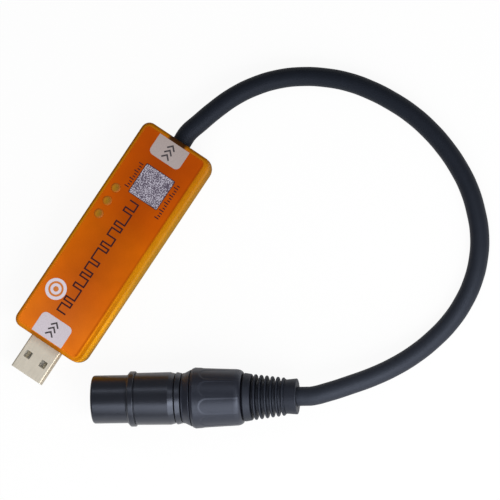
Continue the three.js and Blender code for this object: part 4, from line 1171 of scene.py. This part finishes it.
class INTERFACE_OT_tray(Operator):
    """Moulds the tray, with the lip that guides the lid"""

    bl_idname = "lighting_interface.tray"
    bl_label = "Tray"

    def execute(self, context):
        s = context.scene.housing_settings
        seam, lip_top = HOUSING_MIDDLE.z - s.seam / 2, HOUSING_MIDDLE.z + s.lip
        lip_out = s.wall - s.lip_wall
        inside = [(lip_out, seam), (lip_out, lip_top), (s.wall, lip_top), (s.wall, s.wall)]
        tray = shell("tray", 0, seam, s.foot_edge, inside)
        dress(carved(tray, opening_cutters()), "tray_plastic", replaces=["bottom_shell"])
        return {"FINISHED"}


def lamp_place(name, height=0):
    """Stands a turned form on a height in the middle of a lamp."""
    low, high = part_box(name)
    middle = (low + high) / 2
    return Matrix.Translation((middle.x, middle.y, height)) @ UPRIGHT


class INTERFACE_OT_lamps(Operator):
    """Casts the three lamps, each on its two leads"""

    bl_idname = "lighting_interface.lamps"
    bl_label = "Lamps"

    def execute(self, context):
        s = context.scene.housing_settings
        radius, rim, lead = s.lamp_radius, s.lamp_rim, s.lamp_lead / 2
        steps = 10
        for name in LAMPS:
            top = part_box(name)[1].z
            base = top - s.lamp_height
            foot = base + 2.5 * rim
            profile = [(base, radius + rim), (foot, radius + rim), (foot, radius)]
            for k in range(steps):
                across = math.cos(math.pi / 2 * k / steps)
                profile.append((top - rim * across * across, radius * across))
            bm = turned(profile, 40, closed=False)
            place = lamp_place(name)
            bm.transform(place)
            for side in (-1, 1):
                x, y = place.translation.x + side * s.lamp_lead_spacing / 2, place.translation.y
                square = rectangle(x - lead, x + lead, y - lead, y + lead)
                loft(bm, raised(square, BOARD_TOP, base + rim))
            dress(solid(name.replace("led", "lamp"), bm), "led_lens", replaces=[name])
        return {"FINISHED"}


# Prints on the lid

def printed(name, outlines, height, material):
    """A printed piece: flat outlines that stand a hair above the lid."""
    face = HOUSING_HIGH.z
    bm = skinned(*[raised(outline, face - height, face + height) for outline in outlines])
    return dress(solid(name, bm), "lid_plastic", material=material)


def chevrons(centre, size, count):
    """Lines of nested arrowheads that point along the housing."""
    y, lines = centre[1], []
    for i in range(count):
        x = centre[0] + (i - (count - 1) / 2) * size * ARROW_STEP
        back, tip = x - size / 4, x + size / 4
        lines.append([(back, y - size / 2), (tip, y), (back, y + size / 2)])
    return lines


def pulse_train(start, end, middle, height):
    """The square wave of a data line, between two places."""
    total = sum(PULSES)
    x, high = start, True
    points = [(x, middle - height / 2), (x, middle + height / 2)]
    for run in PULSES:
        x += run * (end - start) / total
        level = middle + height / 2 * (1 if high else -1)
        points += [(x, level), (x, 2 * middle - level)]
        high = not high
    return points


def tick_row(start, end, middle, height, count):
    """A row of upright ticks, every third one taller."""
    ticks = []
    for i in range(count):
        x = start + (end - start) * i / (count - 1)
        low = middle - height / 2
        high = low + height * (1 if i % 3 == 0 else SHORT_TICK)
        ticks.append([(x, low), (x, high)])
    return ticks


class INTERFACE_OT_prints(Operator):
    """Prints pale fields and plain marks on the lid: chevrons, a target, dots and a data wave"""

    bl_idname = "lighting_interface.prints"
    bl_label = "Prints on the lid"

    def execute(self, context):
        s = context.scene.housing_settings
        height, line = s.print_height, s.print_line
        fields = []
        for outer, inner, low, high in FIELDS:
            sharp, soft = FIELD_CORNERS
            corners = [
                (outer, low, sharp), (inner, low, soft), (inner, high, soft), (outer, high, sharp)
            ]
            fields.append(softened([scaled(corner) for corner in corners], closed=True))
        printed("lid_fields", fields, height, "field")
        disc = scaled(DISC)
        printed("lid_disc", [ring_outline(disc, DISC_RADIUS * MM)], height, "disc")
        x0, x1, y0, y1 = scaled(PATCH)
        rim = PATCH_RIM * MM
        patch_corner, border_corner = scaled(PATCH_CORNERS)
        printed("lid_patch_border", [rectangle(x0, x1, y0, y1, border_corner)], height, "lines")
        inner = rectangle(x0 + rim, x1 - rim, y0 + rim, y1 - rim, patch_corner)
        printed("lid_patch", [inner], 1.5 * height, "dots")
        arrows = [
            ribbon(points, line) for centre in ARROWS
            for points in chevrons(scaled(centre), ARROW_SIZE * MM, ARROW_COUNT)
        ]
        printed("lid_chevrons", arrows, 2 * height, "marks")
        lines = [ribbon(pulse_train(*scaled(WAVE)), line)]
        for *places, count in TICKS:
            row = tick_row(*scaled(places), count)
            lines += [ribbon(points, line * TICK_LINE) for points in row]
        printed("lid_data_wave", lines, height, "lines")
        low, high = HOUSING_HIGH.z, HOUSING_HIGH.z + 2 * height
        outer, inner, dot = (ring_outline(disc, radius * MM) for radius in TARGET_RADII)
        bm = skinned([*raised(outer, low, high), *raised(inner, high, low)], closed=True)
        loft(bm, raised(dot, low, high))
        dress(solid("lid_target", bm), "lid_plastic", material="bare")
        return {"FINISHED"}


# Plug

class INTERFACE_OT_plug(Operator):
    """Folds the plug's sheet steel, with its four windows and the seam underneath"""

    bl_idname = "lighting_interface.plug"
    bl_label = "USB plug"

    def execute(self, context):
        s = context.scene.plug_settings
        low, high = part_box("usb_plug_shell")
        bottom, sheet = high.z - s.height, s.sheet
        edge = sheet / 3

        def section(inset, along):
            outline = rectangle(
                low.y + inset, high.y - inset, bottom + inset, high.z - inset,
                max(s.corner - inset, edge),
            )
            return raised(outline, along)[0]

        rings = [
            section(edge, low.x), section(0, low.x + edge), section(0, high.x),
            section(sheet, high.x), section(sheet, low.x + edge), section(sheet - edge / 2, low.x),
        ]
        folded = solid("plug_shell", skinned(rings, closed=True), ALONG_X)
        cutters = []
        middle, half = low.x + s.window_setback, s.window_length / 2
        for side in (-1, 1):
            y, key = side * s.window_spacing / 2, s.window_width
            outline = rectangle(
                middle - half, middle + half, y - key / 2, y + key / 2, sheet, 5
            )
            cutters.append(solid("window", slab(outline, bottom - sheet, high.z + sheet)))
        seam = [
            (low.x - sheet, 0), (low.x + 2 * key, 0), (low.x + 1.8 * key, key / 2),
            (low.x + 3 * key, key / 2), (low.x + 2.8 * key, 0), (high.x + sheet, 0),
        ]
        slit = slab(ribbon(seam, sheet / 4), bottom - sheet, bottom + sheet / 3)
        cutters.append(solid("seam", slit))
        dress(carved(folded, cutters), "plug_steel", replaces=["usb_plug_shell"])
        for name in PLUG_CONTACTS:
            frame["nodes"][name].material_slots[0].material = FINISHES["plug_contacts"]
        for name in ["usb_plug_tongue", *PLUG_CONTACTS]:
            bevel = frame["nodes"][name].modifiers.new("edges", "BEVEL")
            bevel.width = sheet / 3
            bevel.segments = 2
        return {"FINISHED"}


# Connector

def turned_piece(name, corners, slot, replaces, sides=128):
    """A turned part of the connector with rounded corners, dressed."""
    profile = softened(corners, closed=True, steps=4)
    made = solid(name, turned(profile, sides), TO_CONNECTOR)
    return dress(made, slot, replaces=replaces, crease=TURNED_CREASE)


def latch_box(front, rear, half_width, heights):
    """A box on the connector's latch side."""
    outline = rectangle(front, rear, -half_width, half_width)
    return solid("latch_box", slab(outline, *heights), TO_LATCH)


def socket_place(name):
    """Turns a form about X into its place on one of the poles."""
    low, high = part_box(name)
    middle = (low + high) / 2 - CONNECTOR_FRONT
    beside = middle - CONNECTOR_AXIS * middle.dot(CONNECTOR_AXIS)
    return Matrix.Translation(beside) @ TO_CONNECTOR


class INTERFACE_OT_connector_shell(Operator):
    """Turns the connector's shell and ring, with the latch's slot and window"""

    bl_idname = "lighting_interface.connector_shell"
    bl_label = "Connector shell"

    def execute(self, context):
        s = context.scene.connector_settings
        fillet, face = s.fillet, s.collar_from_front
        end = reach("connector_shell")[1]
        step, collar_end = face - 2 * s.nose_step, face + s.collar_length
        barrel, groove = collar_end + s.groove_width, s.barrel_front - s.groove
        corners = [
            (0, s.bore, fillet), (0, s.nose, s.nose_edge), (step, s.nose, 0),
            (step, s.nose + s.nose_step, s.nose_step / 2), (face, s.nose + s.nose_step, 0),
            (face, s.collar - s.collar_chamfer, 0), (face + s.collar_chamfer, s.collar, fillet),
            (collar_end, s.collar, 1.5 * fillet), (collar_end, groove, 0), (barrel, groove, 0),
            (barrel, s.barrel_front, fillet), (s.barrel_end, s.barrel_rear, fillet),
            (end, s.shoulder, fillet), (end, s.bore, 0),
        ]
        made = solid("shell", turned(softened(corners, True, 4), 144), TO_CONNECTOR)
        half = s.lever_width / 2 + s.fit_gap
        tab_end = reach("latch_lever")[1] - s.lever_pivot_room
        tab_start = tab_end - s.tab_length - 2 * s.fit_gap
        # The slot opens a hair behind the collar's face, as a cut in that very plane leaves slivers
        opened = face + fillet / 10
        floor, cover, above = s.latch_well, s.lever_top + s.fit_gap, s.nose * 1.3
        slot = [
            (-s.nose, floor), (tab_start + s.fit_gap, floor), (tab_start + s.fit_gap, cover),
            (opened, cover), (opened, above), (-s.nose, above),
        ]
        window = (tab_start, tab_end + s.fit_gap, s.tab_width / 2 + s.fit_gap)
        cutters = [
            solid("slot", slab(slot, -half, half), TO_LATCH @ ON_SIDE),
            latch_box(*window, (floor, s.nose * 1.5)),
        ]
        dress(
            carved(made, cutters), "connector_metal", replaces=["connector_shell"],
            crease=TURNED_CREASE,
        )
        start, end = reach("retaining_ring")
        ring = [
            (start, s.bore, 0), (start, s.ring, fillet), (end, s.ring - s.ring_slope, 1.5 * fillet),
            (end, s.bore, 0),
        ]
        turned_piece("ring", ring, "connector_metal", ["retaining_ring"])
        return {"FINISHED"}


class INTERFACE_OT_connector_front(Operator):
    """Moulds the insert round its three socket contacts, and the sleeve behind the shell"""

    bl_idname = "lighting_interface.connector_front"
    bl_label = "Insert and sleeve"

    def execute(self, context):
        s = context.scene.connector_settings
        fillet, gap = s.fillet, s.fit_gap
        start, end = reach("connector_insert")
        radius = s.bore - gap
        corners = [
            (start, 0.2 * radius, 0), (start, radius, 1.5 * fillet), (end, radius, fillet),
            (end, 0.2 * radius, 0),
        ]
        profile = softened(corners, False, 4)
        insert = solid("insert", turned(profile, 96, closed=False), TO_CONNECTOR)
        cutters = [latch_box(
            -radius, end + radius, s.lever_width / 2 + gap, (s.latch_well, s.nose * 1.3)
        )]
        hole, room, pin = s.socket_bore + gap / 2, s.socket + gap, s.socket_bore
        for name in SOCKETS:
            front, rear = reach(name)
            profile = [
                (start - fillet, hole + 2 * fillet), (start + fillet, hole), (front, hole),
                (front, room), (end + fillet, room),
            ]
            cutters.append(solid("pole", turned(profile, 40, closed=False), socket_place(name)))
            neck, cup = rear - 1.2 * s.socket_cup, rear - s.socket_cup
            profile = [
                (front + s.socket_depth, pin), (front + fillet, pin), (front, pin + fillet),
                (front + fillet / 2, s.socket), (neck, s.socket), (neck, s.socket - gap),
                (rear, s.socket - gap), (rear, s.socket / 2), (cup, s.socket / 2),
            ]
            contact = turned(profile, 40, closed=False)
            dress(
                solid(name + "_turned", contact, socket_place(name)), "contact_gold",
                replaces=[name], crease=TURNED_CREASE,
            )
        dress(
            carved(insert, cutters), "connector_plastic", replaces=["connector_insert"],
            crease=TURNED_CREASE,
        )
        start, thread_end = reach("thread_sleeve")
        cone, cone_end = reach("retaining_ring")[1] + gap, reach("coupling_nut")[0] - gap
        land, pitch = cone + (cone_end - cone) / 5, s.thread_pitch
        root = s.thread - pitch / 2
        corners = [
            (start, radius, fillet), (cone, radius, 0), (cone, s.cone_front, fillet),
            (land, s.cone_front, 2 * fillet), (cone_end, s.cone_rear, fillet), (cone_end, root, 0),
        ]
        for i in range(int((thread_end - cone_end) / pitch)):
            foot, crest, fall = (cone_end + i * pitch + pitch * share for share in THREAD)
            corners += [(foot, root, 0), (crest, s.thread, 0), (fall, s.thread, 0)]
        bore = s.sleeve_bore
        corners += [(thread_end, root, 0), (thread_end, bore, 0), (start, bore, 0)]
        turned_piece("sleeve", corners, "connector_plastic", ["thread_sleeve"], 96)
        return {"FINISHED"}


class INTERFACE_OT_latch(Operator):
    """Moulds the release lever and bends the leaf spring under it"""

    bl_idname = "lighting_interface.latch"
    bl_label = "Latch"

    def execute(self, context):
        s = context.scene.connector_settings
        fillet, pivot, height = s.fillet, s.pivot, s.pivot_height
        front, rear = reach("latch_lever")
        top, low = s.lever_top, s.lever_top - s.lever_thickness
        tab_end = rear - s.lever_pivot_room
        tab_start = tab_end - s.tab_length
        hook_end, hook_top = front + s.hook_length, top + s.hook_height
        arm = softened([
            (front, low, fillet), (tab_end - 2 * fillet, low, fillet),
            (rear - 2 * pivot, height - pivot, 0), (rear, height - pivot, pivot * 0.9),
            (rear, height + pivot, pivot * 0.9), (tab_end, height + pivot, fillet),
            (tab_end, top, 0), (hook_end, top, fillet), (hook_end, hook_top, fillet),
            (hook_end - s.hook_length * 0.3, hook_top, fillet), (front, top, fillet),
        ], True, 3)
        # The tab, with three grooves for the thumb
        tab = [
            (tab_start, low + fillet), (tab_end, low + fillet), (tab_end, s.tab_top - 2 * fillet)
        ]
        pitch, groove = (s.tab_length - 4 * fillet) / 3, s.tab_top - 1.2 * fillet
        for i in (2, 1, 0):
            step, deep, rise = (
                tab_start + 2 * fillet + i * pitch + pitch * share for share in TAB_STEP
            )
            tab += [(step, s.tab_top), (deep, groove), (rise, groove)]
        tab += [(tab_start + 2 * fillet, s.tab_top), (tab_start, s.tab_top - 2 * fillet)]
        pin = ring_outline((rear - pivot, height), pivot, 24)
        half, tab_half = s.lever_width / 2, s.tab_width / 2
        bm = slab(arm, -half, half)
        for outline in (tab, pin):
            loft(bm, raised(outline, -tab_half, tab_half))
        lever = bevelled(solid("lever", bm, TO_LATCH @ ON_SIDE), fillet / 2)
        dress(lever, "connector_plastic", "latch", ["latch_lever"])
        spring_front, spring_rear = reach("latch_spring")
        bottom, leaf = s.latch_well + s.fit_gap, s.leaf / 2
        bend = spring_rear - (spring_rear - spring_front) * LEAF_BEND
        strip = ribbon([
            (spring_rear, bottom + leaf), (bend, bottom + leaf),
            (spring_front, low - s.fit_gap - leaf),
        ], s.leaf)
        form = slab(strip, -s.leaf_width / 2, s.leaf_width / 2)
        spring = solid("leaf_spring", form, TO_LATCH @ ON_SIDE)
        dress(spring, "spring_steel", replaces=["latch_spring"])
        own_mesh(spring)
        return {"FINISHED"}


class INTERFACE_OT_nut(Operator):
    """Moulds the coupling nut, with shallow grip hollows round it"""

    bl_idname = "lighting_interface.nut"
    bl_label = "Coupling nut"

    def execute(self, context):
        s = context.scene.connector_settings
        start, end = reach("coupling_nut")
        rear, chamfer = s.nut - s.nut_taper, s.nut - s.nut_chamfer
        outer = softened([
            (start, chamfer - s.fillet, 0), (start, chamfer, s.fillet),
            (start + s.nut_chamfer_length, s.nut, 2 * s.fillet), (end - s.nut_round, rear, 0),
        ], False, 5)
        for k in range(1, NUT_ROUND + 1):
            share = math.sin(math.pi / 2 * k / NUT_ROUND)
            drop = s.nut_drop * (1 - math.sqrt(max(0, 1 - share * share)))
            outer.append((end - s.nut_round * (1 - share), rear - drop))
        angles = turns(NUT_SIDES)
        first = start + s.flute_setback
        half = s.flute_width / 2
        even = {start + (end - start) * i / NUT_ROWS for i in range(NUT_ROWS + 1)}
        knots = sorted({along for along, _ in outer} | even)

        def outside(along):
            for (a0, r0), (a1, r1) in zip(outer, outer[1:]):
                if a0 <= along <= a1 and a1 > a0:
                    return r0 + (r1 - r0) * (along - a0) / (a1 - a0)
            return outer[-1][1]

        def fluted(along, angle):
            turn = math.tau / s.flute_count
            aside = (angle - s.flute_turn + turn / 2) % turn - turn / 2
            plain = outside(along)
            near = math.hypot(min(along - first - half, 0), plain * math.sin(aside))
            inside = held((half + s.flute_edge / 2 - near) / s.flute_edge)
            fade = 1 - s.flute_fade * held((along - first) / (end - first))
            return plain - s.flute_depth * fade * inside * inside * (3 - 2 * inside)

        def ring(along, radii):
            return [
                (along, -radius * math.sin(a), radius * math.cos(a))
                for a, radius in zip(angles, radii)
            ]

        bore, neck = s.thread + s.fit_gap, s.boot_neck + s.fit_gap
        rings = [ring(along, [fluted(along, a) for a in angles]) for along in knots]
        for along, radius in (
            (end, neck + s.fillet), (end - s.fillet, neck), (end - s.nut_ledge, neck),
            (end - s.nut_ledge, bore), (start + s.fillet, bore), (start, bore + s.fillet),
        ):
            rings.append(ring(along, [radius] * len(angles)))
        nut = solid("nut", skinned(rings, closed=True), TO_CONNECTOR)
        dress(nut, "connector_plastic", "nut", ["coupling_nut"], crease=TURNED_CREASE)
        return {"FINISHED"}


class INTERFACE_OT_boot(Operator):
    """Moulds the ribbed boot that lets the cable bend gently"""

    bl_idname = "lighting_interface.boot"
    bl_label = "Boot"

    def execute(self, context):
        s = context.scene.connector_settings
        fillet, core = s.fillet, s.boot_core
        start, end = reach("cable_boot")
        flange, tail = start + s.boot_flange, end - s.boot_tail
        collar = reach("coupling_nut")[1] + s.boot_gap
        ribs = collar + s.boot_collar
        pitch = (tail - ribs) / s.rib_count
        hole = context.scene.cable_settings.diameter / 2 + s.fit_gap / 6
        corners = [
            (start, hole, 0), (start, s.thread, fillet), (flange, s.thread, fillet),
            (flange, s.boot_neck, 0), (collar, s.boot_neck, 0), (collar, s.boot_front, 2 * fillet),
            (ribs, s.boot_rear, 2 * fillet), (ribs, core, fillet),
        ]
        foot, top = s.rib_width / 2, s.rib_width / 2 * 0.8
        for i in range(s.rib_count):
            middle = ribs + (i + 2 / 3) * pitch
            tip = s.rib_first + (s.rib_last - s.rib_first) * i / (s.rib_count - 1)
            corners += [
                (middle - foot, core, fillet), (middle - top, tip, top * 0.9),
                (middle + top, tip, top * 0.9), (middle + foot, core, fillet),
            ]
        corners += [
            (tail, s.boot_tail_front, fillet), (end, s.boot_tail_rear, 1.5 * fillet),
            (end, hole, fillet),
        ]
        turned_piece("boot", corners, "boot_rubber", ["cable_boot"], 96)
        return {"FINISHED"}


class INTERFACE_OT_stage(Operator):
    """Makes the table, the sky and the soft lamps"""

    bl_idname = "lighting_interface.stage"
    bl_label = "Stage"

    def execute(self, context):
        s = context.scene.stage_settings
        world = bpy.data.worlds.new("world")
        world.use_nodes = True
        sky = world.node_tree
        even = sky.nodes["Background"]
        even.inputs[0].default_value = grey(1)
        even.inputs[1].default_value = s.sky
        # The lamps' even light is dim, but the camera looks at white beyond the table
        behind = node(sky, "Background", {0: grey(1), 1: 1})
        looked_at = node(sky, "LightPath").outputs["Is Camera Ray"]
        backdrop = node(sky, "MixShader", {0: looked_at, 1: even, 2: behind})
        sky.links.new(backdrop.outputs[0], sky.nodes["World Output"].inputs[0])
        context.scene.world = world
        context.scene.view_settings.view_transform = "Standard"
        outline = rectangle(-FLOOR_HALF, FLOOR_HALF, -FLOOR_HALF, FLOOR_HALF)
        floor = solid("floor", slab(outline, *FLOOR_HEIGHTS))
        material, tree = new_tree("pale_table")
        path = node(tree, "LightPath").outputs
        direct = maths(tree, "MAXIMUM", path["Is Camera Ray"], path["Is Transmission Ray"])
        seen = maths(
            tree, "MAXIMUM", maths(tree, "MULTIPLY", direct, FLOOR_SEEN),
            maths(tree, "MULTIPLY", path["Is Glossy Ray"], FLOOR_MIRRORED),
        )
        lit = node(tree, "BsdfDiffuse", {0: s.floor})
        glow = node(tree, "Emission", {0: grey(1), 1: 1})
        both = node(tree, "MixShader", {0: seen, 1: lit, 2: glow})
        node(tree, "OutputMaterial", {0: both})
        floor.data.materials.append(material)
        camera = context.scene.camera.matrix_world.to_3x3()
        for name, *angles, radiance in LIGHTS:
            right, up, width, height = map(math.radians, angles)
            data = bpy.data.lights.new(name, "AREA")
            data.shape = "RECTANGLE"
            data.size = 2 * s.lamp_distance * math.tan(width / 2)
            data.size_y = 2 * s.lamp_distance * math.tan(height / 2)
            data.energy = radiance * math.pi * data.size * data.size_y
            way = (camera @ Vector((math.tan(right), math.tan(up), 1))).normalized()
            turn = way.to_track_quat("Z", "Y").to_matrix().to_4x4()
            lamp = linked(name, data)
            lamp.matrix_world = Matrix.Translation(Vector(s.target) + way * s.lamp_distance) @ turn
            lamp.visible_camera = False
        return {"FINISHED"}


OPERATORS = [
    INTERFACE_OT_camera, INTERFACE_OT_finishes, INTERFACE_OT_cable, INTERFACE_OT_inner_parts,
    INTERFACE_OT_lid, INTERFACE_OT_tray, INTERFACE_OT_lamps, INTERFACE_OT_prints,
    INTERFACE_OT_plug, INTERFACE_OT_connector_shell, INTERFACE_OT_connector_front,
    INTERFACE_OT_latch, INTERFACE_OT_nut, INTERFACE_OT_boot, INTERFACE_OT_cable_facts,
    INTERFACE_OT_stage,
]


class INTERFACE_PT_panel(Panel):
    """Sizes, colours and steps of the lighting interface"""

    bl_idname = "INTERFACE_PT_panel"
    bl_label = "Lighting interface"
    bl_space_type = "VIEW_3D"
    bl_region_type = "UI"
    bl_category = "Lighting interface"

    def draw(self, context):
        for name in SETTINGS:
            box = self.layout.box()
            box.label(text=name.replace("_", " ").capitalize())
            settings = getattr(context.scene, name)
            for key in settings.__annotations__:
                box.prop(settings, key)
        for operator in OPERATORS:
            self.layout.operator(operator.bl_idname)


CLASSES = [
    HousingSettings, PlugSettings, ConnectorSettings, CableSettings, StageSettings,
    *OPERATORS, INTERFACE_PT_panel,
]
SETTINGS = {
    "housing_settings": HousingSettings,
    "plug_settings": PlugSettings,
    "connector_settings": ConnectorSettings,
    "cable_settings": CableSettings,
    "stage_settings": StageSettings,
}


def register():
    """Registers the classes and hangs the settings on the scene."""
    for each in CLASSES:
        bpy.utils.register_class(each)
    for name, group in SETTINGS.items():
        setattr(bpy.types.Scene, name, PointerProperty(type=group))


def unregister():
    """Takes the settings and the classes away again."""
    for name in SETTINGS:
        delattr(bpy.types.Scene, name)
    for each in reversed(CLASSES):
        bpy.utils.unregister_class(each)


def main():
    """Builds every piece."""
    register()
    for operator in OPERATORS:
        getattr(bpy.ops.lighting_interface, operator.bl_idname.split(".")[1])()


if __name__ == "__main__":
    main()
